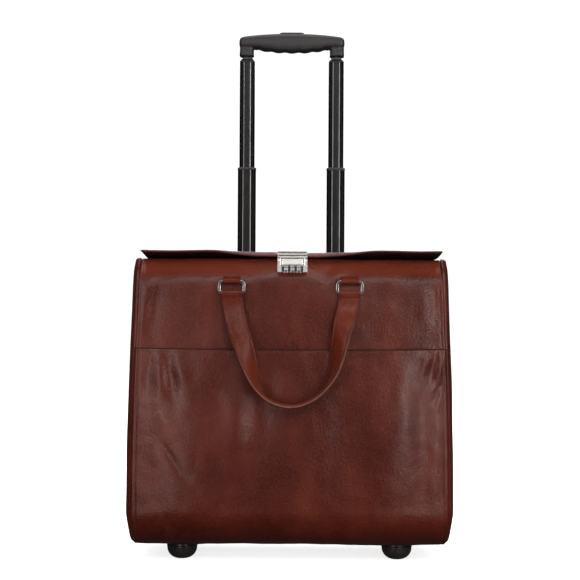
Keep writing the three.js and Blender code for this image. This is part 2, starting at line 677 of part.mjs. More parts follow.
function hub(side) {
  const { axle, half } = WHEEL;
  const outer = WHEEL.hub - GAP;
  const profile = [
    [axle + 0.4, -half], [7, -half], [7.5, -half + 4], [14.5, -half + 4], [15, -half + 1.5], [outer, -half + 1.5],
    [outer, half - 1.5], [15, half - 1.5], [14.5, half - 4], [7.5, half - 4], [7, half], [axle + 0.4, half],
  ];
  return turned(profile, 32, side * WHEEL.x);
}

function foot(side) {
  const dome = steps(Math.asin(FOOT.flat / FOOT.radius), Math.PI / 2, 7).map(
    (a) => new THREE.Vector2(FOOT.radius * Math.sin(a), FOOT.dome * (1 - Math.cos(a))),
  );
  const floor = dome[0].y;
  const profile = [
    new THREE.Vector2(0, 0),
    ...dome.map((p) => new THREE.Vector2(p.x, p.y - floor)),
    new THREE.Vector2(FOOT.radius, BOTTOM_Z - GAP),
    new THREE.Vector2(0, BOTTOM_Z - GAP),
  ];
  return new THREE.LatheGeometry(profile, 32).rotateX(Math.PI / 2).translate(side * FOOT.x, FOOT.y, 0);
}

addPair("wheel_housing", BLACK_PLASTIC, wheelHousing);
addPair("axle", STEEL, (side) => cylinderX(WHEEL.axle, 33.4, 16, side * WHEEL.x, WHEEL.y, WHEEL.radius));
addPair("tyre", BLACK_RUBBER, tyre);
addPair("hub", BLACK_PLASTIC, hub);
addPair("foot", BLACK_PLASTIC, foot);

export default flightCase;
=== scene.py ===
"""Looks for the rolling flight case: leather, metal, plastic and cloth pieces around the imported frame.

Metres, +Z up, the front faces -Y. Lengths in the tables of folds and seams are in metres too.
"""
import json
import math

import bpy
import numpy as np
from mathutils import Matrix, Vector, noise

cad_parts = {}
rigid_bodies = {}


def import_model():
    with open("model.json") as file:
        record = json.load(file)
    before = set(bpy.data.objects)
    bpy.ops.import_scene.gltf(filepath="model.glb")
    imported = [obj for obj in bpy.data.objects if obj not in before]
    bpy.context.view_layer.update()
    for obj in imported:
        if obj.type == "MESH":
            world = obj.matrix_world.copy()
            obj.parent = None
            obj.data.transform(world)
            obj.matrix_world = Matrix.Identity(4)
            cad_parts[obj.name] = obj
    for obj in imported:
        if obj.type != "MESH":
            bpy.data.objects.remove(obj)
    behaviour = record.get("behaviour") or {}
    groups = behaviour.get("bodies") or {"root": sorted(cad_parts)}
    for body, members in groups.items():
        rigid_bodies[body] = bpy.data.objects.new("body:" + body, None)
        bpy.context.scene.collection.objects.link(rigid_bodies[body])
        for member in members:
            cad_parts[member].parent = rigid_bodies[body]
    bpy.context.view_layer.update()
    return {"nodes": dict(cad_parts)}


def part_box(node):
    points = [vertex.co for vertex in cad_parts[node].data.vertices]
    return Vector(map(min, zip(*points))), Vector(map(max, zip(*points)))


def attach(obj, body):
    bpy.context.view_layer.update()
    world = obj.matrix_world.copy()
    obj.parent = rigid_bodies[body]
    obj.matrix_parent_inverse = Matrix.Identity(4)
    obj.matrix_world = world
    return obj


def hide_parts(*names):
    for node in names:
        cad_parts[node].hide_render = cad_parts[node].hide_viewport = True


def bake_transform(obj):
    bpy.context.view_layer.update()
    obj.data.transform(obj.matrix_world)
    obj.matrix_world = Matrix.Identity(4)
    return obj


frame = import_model()
bpy.ops.object.select_all(action="DESELECT")

# ---- Dimensions shared with the CAD frame ----

FRONT_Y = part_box("front_panel")[0].y
BACK_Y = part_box("back_panel")[1].y
BOTTOM_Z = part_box("front_panel")[0].z
SHOULDER_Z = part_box("front_panel")[1].z
BACK_TOP_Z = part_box("back_panel")[1].z
POCKET_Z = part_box("front_pocket")[1].z
FRONT_RADIUS = 0.052  # of the bend from the front into the base
BACK_RADIUS = 0.018
FLARE_Z = 0.120  # the body narrows above this height
FOLD_Z = 0.3930  # the shoulder leans back above this height
SHOULDER_BEND = 0.0070
SHOULDER_RUN = 0.022  # how far back the shoulder's top is
LOCK_PULL = 0.014  # how much of that the lock pulls forward again
PULL_WIDTH = 0.085
HALF_LOW = 0.2125
HALF_HIGH = 0.203
SEAM_INSET = 0.0062
LEATHER = 0.0026  # its thickness on the panels
SIDE_GAP = 0.0012  # between a panel's edge and the body's half width
WALL_Y = 0.058
TUBE_Y = 0.082
TUBE_X = 0.0655
BAND_SHARE = 0.21  # half the width of a tube's flat band, as a share of the tube's width
LOCK_X = 0.002
RING_X = 0.078
RING_Y = 0.1022
RING_Z = 0.3812  # the top bar of a ring
RING_LOW_Z = 0.3658  # its lower bar
HANDS = ((-1, "left"), (1, "right"))


# ---- Materials ----


class Nodes:
    """A small helper to build a material's node tree."""

    def __init__(self, name):
        self.material = bpy.data.materials.new(name)
        self.material.use_nodes = True
        self.tree = self.material.node_tree
        self.shader = self.tree.nodes["Principled BSDF"]
        self.coordinates = self.new("ShaderNodeTexCoord").outputs["Object"]

    def new(self, kind, **values):
        node = self.tree.nodes.new(kind)
        for key, value in values.items():
            setattr(node, key, value)
        return node

    def link(self, source, target):
        self.tree.links.new(source, target)

    def scaled(self, scale):
        mapping = self.new("ShaderNodeMapping")
        mapping.inputs["Scale"].default_value = scale
        self.link(self.coordinates, mapping.inputs["Vector"])
        return mapping.outputs["Vector"]

    def noise(self, scale, detail=4.0, rough=0.55, stretch=(1, 1, 1)):
        node = self.new("ShaderNodeTexNoise")
        node.inputs["Scale"].default_value = scale
        node.inputs["Detail"].default_value = detail
        node.inputs["Roughness"].default_value = rough
        self.link(self.scaled(stretch), node.inputs["Vector"])
        return node.outputs["Fac"]

    def cells(self, scale, feature="F1"):
        node = self.new("ShaderNodeTexVoronoi", feature=feature)
        node.inputs["Scale"].default_value = scale
        self.link(self.coordinates, node.inputs["Vector"])
        return node.outputs["Distance"]

    def remap(self, value, low, high, to_low=0.0, to_high=1.0):
        node = self.new("ShaderNodeMapRange")
        for key, number in zip(("From Min", "From Max", "To Min", "To Max"), (low, high, to_low, to_high)):
            node.inputs[key].default_value = number
        self.link(value, node.inputs["Value"])
        return node.outputs["Result"]

    def feed(self, value, socket):
        """A colour or a number is set on the socket, and another node's output is linked to it."""
        if isinstance(value, tuple):
            socket.default_value = (*value, 1.0)
        elif isinstance(value, (int, float)):
            socket.default_value = value
        else:
            self.link(value, socket)

    def maths(self, operation, a, b):
        node = self.new("ShaderNodeMath", operation=operation)
        self.feed(a, node.inputs[0])
        self.feed(b, node.inputs[1])
        return node.outputs["Value"]

    def mix(self, fac, a, b):
        node = self.new("ShaderNodeMix", data_type="RGBA")
        for key, value in (("Factor", fac), ("A", a), ("B", b)):
            self.feed(value, next(s for s in node.inputs if s.name == key and s.enabled))
        return next(s for s in node.outputs if s.enabled)

    def bump(self, height, distance, strength=1.0, onto=None):
        node = self.new("ShaderNodeBump")
        node.inputs["Distance"].default_value = distance
        node.inputs["Strength"].default_value = strength
        self.link(height, node.inputs["Height"])
        if onto is not None:
            self.link(onto, node.inputs["Normal"])
        return node.outputs["Normal"]

    def finish(self, color, roughness, normal=None, **sockets):
        """Other sockets of the shader are given by name, with _ for each space."""
        inputs = self.shader.inputs
        self.feed(color, inputs["Base Color"])
        self.feed(roughness, inputs["Roughness"])
        if normal is not None:
            self.link(normal, inputs["Normal"])
        for key, value in sockets.items():
            inputs[key.replace("_", " ")].default_value = value
        return self.material


def leather(name, dark, mid, light, gloss=0.26, shine=0.28, painted_light_above=None):
    """Full-grain leather: cloudy dye, fine pebbled grain, pores and a waxed semi-gloss. A pair of heights in
    painted_light_above paints light on it: it turns paler above them, a painted highlight where the lid shades the
    shoulder."""
    n = Nodes(name)
    clouds = n.noise(9, 5, 0.6)
    streaks = n.noise(26, 5, 0.6, (1, 1, 0.35))
    grain = n.cells(620)
    creases = n.cells(210, "DISTANCE_TO_EDGE")
    mottle = n.noise(420, 3, 0.7)
    color = n.mix(n.remap(clouds, 0.36, 0.66), dark, mid)
    color = n.mix(n.maths("MULTIPLY", n.remap(streaks, 0.48, 0.72), 0.55), color, light)
    color = n.mix(n.maths("MULTIPLY", n.remap(mottle, 0.45, 0.70), 0.6), color, dark)
    specks = n.noise(520, 2, 0.6)
    color = n.mix(n.maths("MULTIPLY", n.remap(specks, 0.54, 0.70), 0.5), color, light)
    # Painted light: the leather turns paler above the given heights, standing in for light on the shoulder.
    if painted_light_above:
        height = n.new("ShaderNodeSeparateXYZ")
        n.link(n.coordinates, height.inputs[0])
        painted_light = n.maths("MULTIPLY", n.remap(height.outputs["Z"], *painted_light_above), 0.85)
        color = n.mix(painted_light, color, tuple(1.15 * c for c in light))
    rough = n.remap(n.maths("ADD", n.maths("MULTIPLY", clouds, 0.5), n.maths("MULTIPLY", mottle, 0.5)),
                    0.3, 0.7, gloss - 0.05, gloss + 0.13)
    fine = n.bump(grain, 0.00018, 0.5)
    creased = n.bump(n.remap(creases, 0.0, 0.06), 0.00012, 0.35, fine)
    pebbles = n.bump(n.noise(330, 3, 0.6), 0.00034, 1.0, creased)
    soft = n.bump(n.noise(70, 4, 0.6), 0.0004, 0.5, pebbles)
    return n.finish(color, rough, soft, Specular_IOR_Level=shine, Coat_Weight=0.06, Coat_Roughness=0.18)


def metal(name, color, rough, scratch=(1, 1, 1)):
    n = Nodes(name)
    brushed = n.noise(900, 3, 0.6, scratch)
    smudge = n.noise(60, 3, 0.5)
    shade = n.mix(n.remap(smudge, 0.35, 0.7), color, tuple(0.82 * c for c in color))
    roughness = n.remap(n.maths("ADD", brushed, smudge), 0.7, 1.3, rough - 0.05, rough + 0.1)
    return n.finish(shade, roughness, n.bump(brushed, 0.00002, 0.5), Metallic=1.0)


def plastic(name, color, rough, texture_scale=700, depth=0.00008, specular=0.5):
    n = Nodes(name)
    fine = n.noise(texture_scale, 3, 0.6)
    broad = n.noise(18, 3, 0.5)
    shade = n.mix(n.remap(broad, 0.35, 0.7), color, tuple(1.45 * c for c in color))
    roughness = n.remap(n.maths("ADD", fine, broad), 0.7, 1.3, rough - 0.06, rough + 0.08)
    return n.finish(shade, roughness, n.bump(fine, depth, 0.6), Specular_IOR_Level=specular)


def cloth(name, color):
    """Plain woven lining cloth: warp and weft bands in three directions, so it needs no UVs."""
    thread = 0.0011
    n = Nodes(name)
    waves = []
    for axis in "XYZ":
        node = n.new("ShaderNodeTexWave", wave_type="BANDS", bands_direction=axis, wave_profile="SIN")
        node.inputs["Scale"].default_value = 0.314 / thread
        n.link(n.coordinates, node.inputs["Vector"])
        waves.append(node.outputs["Fac"])
    weave = n.maths("ADD", n.maths("MULTIPLY", waves[0], waves[2]), n.maths("MULTIPLY", waves[1], waves[2]))
    fuzz = n.noise(900, 2)
    shade = n.mix(n.remap(weave, 0.1, 1.1), tuple(0.6 * c for c in color), tuple(1.3 * c for c in color))
    shade = n.mix(n.maths("MULTIPLY", n.remap(fuzz, 0.4, 0.7), 0.3), shade, color)
    return n.finish(shade, 0.85, n.bump(weave, 0.0003, 0.6), Sheen_Weight=0.25)


def tube_finish(name):
    """Black anodised aluminium with faint drawing lines along the tube."""
    n = Nodes(name)
    lines = n.noise(900, 3, 0.6, (1, 1, 0.01))
    wear = n.noise(40, 4, 0.6)
    shade = n.mix(n.remap(wear, 0.4, 0.7), (0.0085, 0.0085, 0.0087), (0.0135, 0.0135, 0.0138))
    roughness = n.remap(n.maths("ADD", lines, wear), 0.7, 1.3, 0.30, 0.42)
    return n.finish(shade, roughness, n.bump(lines, 0.00003, 0.4), Specular_IOR_Level=0.19)


# The tubes' flanks: the black tube again, near-black and almost without gloss, as painted shade.
TUBE_SIDE_PAINTED_SHADE = plastic("tube_side_painted_shade", (0.0025, 0.0025, 0.0025), 0.3, 900, 0.00002, 0.06)
# Light grey metal on the steps beside a tube's band: a painted glint along those edges.
TUBE_EDGE_PAINTED_GLINT = metal("tube_arris_painted_glint", (0.28, 0.28, 0.28), 0.36, (1, 1, 0.02))
BROWNS = (0.058, 0.0080, 0.0042), (0.100, 0.0150, 0.0078), (0.165, 0.032, 0.0165)
BODY = leather("body_leather", *BROWNS)
# The front's shoulder is painted paler above these heights: painted light.
FRONT_LEATHER_PAINTED_LIGHT = leather("front_leather", *BROWNS, painted_light_above=(0.384, 0.396))
STRAP = leather("strap_leather", (0.085, 0.0120, 0.0056), (0.140, 0.0240, 0.0110), (0.215, 0.046, 0.022), 0.25, 0.13)
# Paler, glossier leather along the strap's outer edges: partly the edges' own worn colour, partly a painted highlight
# for the light line along them.
EDGE_WEAR_AND_HIGHLIGHT = leather("edge_leather_worn_and_painted_highlight", (0.10, 0.035, 0.022), (0.15, 0.055, 0.036), (0.22, 0.10, 0.07), 0.42, 0.30)
THREAD = plastic("thread", (0.085, 0.028, 0.02), 0.6, 1800, 0.0001, 0.3)
NICKEL = metal("nickel", (0.80, 0.785, 0.76), 0.22, (0.02, 1, 1))
NICKEL_PLATE = metal("nickel_plate", (0.90, 0.89, 0.87), 0.3, (0.02, 1, 1))
# Dark nickel on a ring's flat front and back faces: painted shade for the dark reflection they show.
RING_FACE_PAINTED_SHADE = metal("ring_face_painted_shade", (0.08, 0.072, 0.066), 0.26, (0.02, 1, 1))
STEEL = metal("steel", (0.55, 0.56, 0.58), 0.3)
TUBE = tube_finish("black_tube")
PLASTIC = plastic("black_plastic", (0.018, 0.019, 0.019), 0.42)
GRIP = plastic("grip_plastic", (0.021, 0.020, 0.020), 0.44, 1100, 0.00006, 0.4)
RUBBER = plastic("tyre_rubber", (0.017, 0.017, 0.017), 0.72, 900, 0.00012, 0.3)
# Black ink for the dial figures, and the same black as painted shade in the lock's gaps and grooves.
INK_AND_PAINTED_SHADE = plastic("ink", (0.02, 0.02, 0.02), 0.6)
LINING = cloth("lining_cloth", (0.050, 0.036, 0.030))
GLIDE = plastic("glide_plastic", (0.022, 0.020, 0.020), 0.24, 400, 0.00002)
# Near-black for the pocket's rim: partly the cut edge's own dark finish, partly painted shadow of the gap above the
# pocket.
HEM_EDGE_AND_PAINTED_SHADOW = plastic("hem_edge_and_painted_shadow", (0.012, 0.0030, 0.0020), 0.6, 600, 0.0001, 0.2)
# A very dark leather colour under the lid: painted shade for the shadow under the overhanging flap.
UNDERSIDE_PAINTED_SHADE = plastic("underside_painted_shade", (0.016, 0.0042, 0.0026), 0.7, 420, 0.00015, 0.2)


# ---- Mesh helpers ----


def put(obj, body, *nodes, slot=None):
    """The object rides on a body and stands for CAD nodes. Its slot is not used."""
    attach(obj, body)
    if nodes:
        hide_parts(*nodes)
    return obj


def mesh_object(name, points, faces, material, smooth=True):
    mesh = bpy.data.meshes.new(name)
    mesh.from_pydata([tuple(p) for p in points], [], faces)
    mesh.validate()
    obj = bpy.data.objects.new(name, mesh)
    bpy.context.scene.collection.objects.link(obj)
    mesh.materials.append(material)
    if smooth:
        mesh.shade_smooth()
    return obj


def outward(obj):
    """Faces turned outwards."""
    bpy.context.view_layer.objects.active = obj
    obj.select_set(True)
    bpy.ops.object.mode_set(mode="EDIT")
    bpy.ops.mesh.select_all(action="SELECT")
    bpy.ops.mesh.normals_make_consistent(inside=False)
    bpy.ops.object.mode_set(mode="OBJECT")
    obj.select_set(False)
    return obj


def sharpen(obj, angle):
    """Smooth shading that keeps edges sharper than an angle."""
    obj.data.set_sharp_from_angle(angle=math.radians(angle))
    return obj


def join(name, objects):
    """One object from several, with the first one's place in the scene."""
    for o in objects:
        o.select_set(True)
    bpy.context.view_layer.objects.active = objects[0]
    bpy.ops.object.join()
    objects[0].select_set(False)
    objects[0].name = name
    objects[0].data.name = name
    return objects[0]


def apply_modifiers(obj):
    bpy.context.view_layer.update()
    evaluated = obj.evaluated_get(bpy.context.evaluated_depsgraph_get())
    mesh = bpy.data.meshes.new_from_object(evaluated)
    obj.modifiers.clear()
    obj.data = mesh
    return obj


def carve(obj, *cutters):
    """Cuts the cutters out of an object and removes them."""
    for cutter in cutters:
        cut = obj.modifiers.new("cut", "BOOLEAN")
        cut.operation, cut.object, cut.solver = "DIFFERENCE", cutter, "EXACT"
    apply_modifiers(obj)
    for cutter in cutters:
        bpy.data.objects.remove(cutter)


def rim_of(rows, cols):
    """The (row, column) pairs round a grid's rim."""
    return ([(0, c) for c in range(cols)] + [(r, cols - 1) for r in range(1, rows)]
            + [(rows - 1, c) for c in range(cols - 2, -1, -1)] + [(r, 0) for r in range(rows - 2, 0, -1)])


def nearest(values, wanted):
    """The index of the value nearest to a wanted one."""
    return int(np.argmin(np.abs(values - wanted)))


def turns(count):
    """Evenly spaced angles all the way round."""
    return 2 * math.pi * np.arange(count) / count


def crowded(count, share):
    """Places from -1 to 1, closer together near the ends."""
    reach = math.pi / 2 * share
    return np.sin(np.linspace(-1, 1, count) * reach) / math.sin(reach)


def bulged(value, power):
    """A value's size raised to a power, with the value's sign."""
    return np.copysign(np.abs(value) ** power, value)


def run_length(points):
    """The distance along a polyline at each of its points."""
    return np.concatenate([[0], np.cumsum(np.linalg.norm(np.diff(points, axis=0), axis=1))])


def unit(vectors):
    return vectors / np.maximum(np.linalg.norm(vectors, axis=-1, keepdims=True), 1e-12)


def grid_normals(points):
    """Unit normals of a grid of points, as rows x columns x 3."""
    across = np.gradient(points, axis=1)
    along = np.gradient(points, axis=0)
    return unit(np.cross(across, along))


def quads(at):
    """Faces over a grid of point numbers."""
    return np.stack([at[:-1, :-1], at[:-1, 1:], at[1:, 1:], at[1:, :-1]], -1).reshape(-1, 4).tolist()


def shell(name, points, thickness, material, flip=False, edge_material=None, round_edge=0.45):
    """A sheet of a thickness under a grid of points, with a rounded rim. The grid is its outer face."""
    rows, cols, _ = points.shape
    normal = grid_normals(points) * (-1 if flip else 1)
    inner = points - normal * thickness
    rim = rim_of(rows, cols)
    middle = []
    for r, c in rim:
        r1, c1 = min(max(r, 1), rows - 2), min(max(c, 1), cols - 2)
        away = unit(points[r, c] - points[r1, c1])
        middle.append((points[r, c] + inner[r, c]) / 2 + away * thickness * round_edge)
    at = np.arange(rows * cols).reshape(rows, cols)
    under = at + rows * cols
    faces = quads(at) + [face[:1] + face[:0:-1] for face in quads(under)]
    sheet_faces = len(faces)
    first = 2 * rows * cols
    for k, (r, c) in enumerate(rim):
        k2 = (k + 1) % len(rim)
        r2, c2 = rim[k2]
        faces.append((int(at[r, c]), int(at[r2, c2]), first + k2, first + k))
        faces.append((first + k, first + k2, int(under[r2, c2]), int(under[r, c])))
    every = np.concatenate([points.reshape(-1, 3), inner.reshape(-1, 3), np.array(middle)])
    obj = outward(mesh_object(name, every, faces, material))
    if edge_material:
        obj.data.materials.append(edge_material)
        for polygon in obj.data.polygons[sheet_faces:]:
            polygon.material_index = 1
    return obj


def sweep(name, sections, material, closed=False):
    """A body through rings of points, capped at its ends unless it closes on itself."""
    rings = np.array(sections)
    count, n, _ = rings.shape
    faces = []
    for i in range(count if closed else count - 1):
        here, ahead = i * n, ((i + 1) % count) * n
        faces += [(here + j, here + (j + 1) % n, ahead + (j + 1) % n, ahead + j) for j in range(n)]
    if not closed:
        faces.append(tuple(range(n - 1, -1, -1)))
        faces.append(tuple((count - 1) * n + j for j in range(n)))
    return outward(mesh_object(name, rings.reshape(-1, 3), faces, material))


def lathe(name, profile, centre, axis, material, segments):
    """A profile of (radius, place along the axis) turned about an axis ('X' or 'Z') through a centre."""
    r, along = np.array(profile).T
    sections = []
    for a in turns(segments):
        u, v = r * math.cos(a), r * math.sin(a)
        sections.append(np.stack((along, u, v) if axis == "X" else (u, v, along), 1) + np.array(centre))
    return sharpen(sweep(name, sections, material, closed=True), 30)


def border(path, centre, profile):
    """Sections of a profile of (outwards, along Y) pairs, carried round a closed path of (x, z) pairs."""
    sections = []
    for i, (a, b) in enumerate(path):
        before, after = path[i - 1], path[(i + 1) % len(path)]
        t = np.array([after[0] - before[0], 0, after[1] - before[1]])
        t /= np.linalg.norm(t)
        out = np.array([t[2], 0, -t[0]])
        at = np.array([centre[0] + a, centre[1], centre[2] + b])
        sections.append([at + out * u + np.array([0, v, 0]) for u, v in profile])
    return sections


def ribbon(line, x0, half, count):
    """A grid that carries a line of (y, z) pairs across X."""
    return np.array([[(x, y, z) for x in x0 + np.linspace(-1, 1, count) * half] for y, z in line])


def block(name, low, high, bevel, material, segments=3):
    """A box with rounded edges."""
    x, y, z = zip(low, high)
    corners = [(a, b, c) for a in x for b in y for c in z]
    faces = [(0, 1, 3, 2), (4, 6, 7, 5), (0, 4, 5, 1), (2, 3, 7, 6), (0, 2, 6, 4), (1, 5, 7, 3)]
    obj = outward(mesh_object(name, corners, faces, material))
    rounding = obj.modifiers.new("bevel", "BEVEL")
    rounding.width, rounding.segments, rounding.limit_method = bevel, segments, "NONE"
    apply_modifiers(obj)
    return sharpen(obj, 40)


def rounded(width, height, radius, corner):
    """Points round a rectangle with corners rounded in a number of steps, as (across, up) pairs."""
    ring = []
    for quarter, (sx, sy) in enumerate([(1, 1), (-1, 1), (-1, -1), (1, -1)]):
        for i in range(corner + 1):
            a = (quarter + i / corner) * math.pi / 2
            ring.append((sx * (width / 2 - radius) + radius * math.cos(a),
                         sy * (height / 2 - radius) + radius * math.sin(a)))
    return ring


def stitches(name, paths, body, pitch=0.0036, length=0.0026, radius=0.00038):
    """Lock stitches along seams. Each path is a list of (point, normal) pairs."""
    sink = 0.3  # how deep a stitch lies, as a share of its radius
    sides, rings = 6, [(-0.5, 0.25), (-0.32, 0.9), (0.0, 1.05), (0.32, 0.9), (0.5, 0.25)]
    points, faces = [], []
    for path in paths:
        line, normals = (np.array([pair[k] for pair in path], float) for k in (0, 1))
        chord = run_length(line)
        places = np.arange(pitch / 2, chord[-1], pitch)

        def at(values, step=0.0):
            return np.stack([np.interp(places + step, chord, values[:, i]) for i in range(3)], 1)

        along = unit(at(line, pitch * 0.2) - at(line, -pitch * 0.2))
        for spot, ahead, high in zip(at(line), along, unit(at(normals))):
            side = np.cross(ahead, high)
            first = len(points)
            for t, r in rings:
                centre = spot + ahead * (t * length) + high * radius * (1 - sink - 2.2 * t * t)
                points += [centre + radius * r * (side * math.cos(a) + high * math.sin(a)) for a in turns(sides)]
            for i in range(len(rings) - 1):
                for k in range(sides):
                    a, b = first + i * sides + k, first + i * sides + (k + 1) % sides
                    faces.append((a, b, b + sides, a + sides))
            faces.append(tuple(first + k for k in range(sides - 1, -1, -1)))
            faces.append(tuple(first + (len(rings) - 1) * sides + k for k in range(sides)))
    put(mesh_object(name, points, faces, THREAD), body)


def grid_path(points, normals, rows=slice(None), cols=slice(None)):
    """(point, normal) pairs along one row or one column of a grid."""
    return list(zip(points[rows, cols], normals[rows, cols]))


# ---- Leather surfaces ----


def clamp01(t):
    return np.clip(t, 0.0, 1.0)


def half_width(z):
    t = clamp01((z - FLARE_Z) / (SHOULDER_Z - FLARE_Z))
    return HALF_LOW - (HALF_LOW - HALF_HIGH) * t**1.35


def smooth_noise(x, z, scale, seed):
    """Gentle hills over a grid, about -1 to 1."""
    flat = [noise.noise(Vector((a / scale, b / scale, seed))) for a, b in zip(x.ravel(), z.ravel())]
    return np.array(flat).reshape(x.shape) * 1.6


def fold(x, z, a, b, width, height):
    """A soft ridge, or a valley if height is negative, along the line from a to b. Its ends fade out."""
    a, b = np.array(a), np.array(b)
    d = b - a
    length = np.linalg.norm(d)
    d = d / length
    along = ((x - a[0]) * d[0] + (z - a[1]) * d[1]) / length
    off = (x - a[0]) * -d[1] + (z - a[1]) * d[0]
    ends = np.where(along < 0, np.exp(-((along * length / (1.6 * width)) ** 2)), 1.0)
    ends = np.where(along > 1, np.exp(-(((along - 1) * length / (1.6 * width)) ** 2)), ends)
    body = 0.35 + 0.65 * np.sin(np.pi * clamp01(along)) ** 0.7
    return height * np.exp(-((off / width) ** 2)) * ends * body


def soft_step(value, width):
    """0 well below zero, the value itself well above it, and a smooth bend between."""
    return width * np.log1p(np.exp(np.clip(value / width, -40, 40)))


def smooth_step(value, low, high):
    t = clamp01((value - low) / (high - low))
    return t * t * (3 - 2 * t)


def folds(x, z, table):
    """The sum of folds, each given by its line's two ends, its width and its height."""
    return sum(fold(x, z, *row) for row in table)


def front_surface(x, z):
    """Where the front panel's face is, along Y, above its bend. The lock pulls its shoulder forward."""
    run = SHOULDER_RUN - LOCK_PULL * np.exp(-((x / PULL_WIDTH) ** 2))
    return FRONT_Y + run / (SHOULDER_Z - FOLD_Z) * soft_step(z - FOLD_Z, SHOULDER_BEND)


def front_profile(u, inset, top, start_degrees=90.0, rows_flat=120):
    """Grids of (x, y, z) of the front's outer face, from underneath up to a height."""
    centre_y, centre_z = FRONT_Y + FRONT_RADIUS, BOTTOM_Z + FRONT_RADIUS
    radius = FRONT_RADIUS - inset
    angles = np.radians(np.linspace(start_degrees, 0, 26))[:-1]
    bend_y = centre_y - radius * np.cos(angles)
    bend_z = centre_z - radius * np.sin(angles)
    flat_z = np.linspace(centre_z, top, rows_flat)
    z = np.concatenate([bend_z, flat_z])
    z = np.repeat(z[:, None], len(u), 1)
    x = u[None, :] * (half_width(z) - SIDE_GAP)
    y = front_surface(x, z) + inset
    y[:len(angles)] = bend_y[:, None]
    return np.stack([x, y, z], -1)


def across_seams(u):
    """The columns of a grid nearest the seams along its two side edges."""
    off = np.abs((1 - np.abs(u)) * HALF_LOW - SEAM_INSET)
    return [int(np.argmin(off + (u > 0) * 9)), int(np.argmin(off + (u < 0) * 9))]


def edge_roll(u):
    """How far a panel rolls back towards its side edges."""
    return -0.0026 * clamp01(1 - (1 - np.abs(u)) * HALF_LOW / 0.0042)[None, :] ** 2


def seam_groove(distance, at, depth=0.0006, width=0.0016):
    return -depth * np.exp(-(((distance - at) / width) ** 2))


ACROSS = crowded(171, 0.86)


def front_panel():
    """The front: creased where the lid and the rings pull at it."""
    p = front_profile(ACROSS, 0.0, SHOULDER_Z + 0.0014, rows_flat=140)
    x, z = p[..., 0], p[..., 2]
    side = (1 - np.abs(ACROSS))[None, :] * half_width(z)
    d = 0.0009 * smooth_noise(x, z, 0.075, 3.1) + 0.00022 * smooth_noise(x, z, 0.016, 8.4)
    d += edge_roll(ACROSS) + seam_groove(side, SEAM_INSET, 0.0003)
    d += folds(x, z, [
        ((-0.186, 0.379), (-0.197, 0.325), 0.008, 0.0016),
        ((-0.176, 0.372), (-0.188, 0.300), 0.011, -0.0013),
        ((0.188, 0.379), (0.193, 0.318), 0.010, -0.0014),
        ((0.175, 0.376), (0.183, 0.330), 0.012, 0.0013),
        ((0.072, 0.404), (0.060, 0.384), 0.007, 0.0017),
        ((0.052, 0.402), (0.040, 0.380), 0.008, -0.0014),
        ((-0.060, 0.404), (-0.052, 0.382), 0.010, -0.0012),
        ((0.125, 0.404), (0.140, 0.378), 0.014, 0.0014),
        ((-0.130, 0.402), (-0.150, 0.380), 0.014, 0.0012),
        ((0.030, 0.352), (0.150, 0.344), 0.018, 0.0009),
        ((-0.120, 0.335), (-0.020, 0.345), 0.020, -0.0009),
    ])
    p = p + grid_normals(p) * d[..., None]
    panel = shell("front_leather", p, LEATHER, FRONT_LEATHER_PAINTED_LIGHT)
    put(panel, "case", "front_panel", slot="body_leather")
    row = nearest(p[:, 0, 2], SHOULDER_Z - 0.0085)
    stitches("front_stitches", [grid_path(p, grid_normals(p), rows=row)[4:-4]], "case")


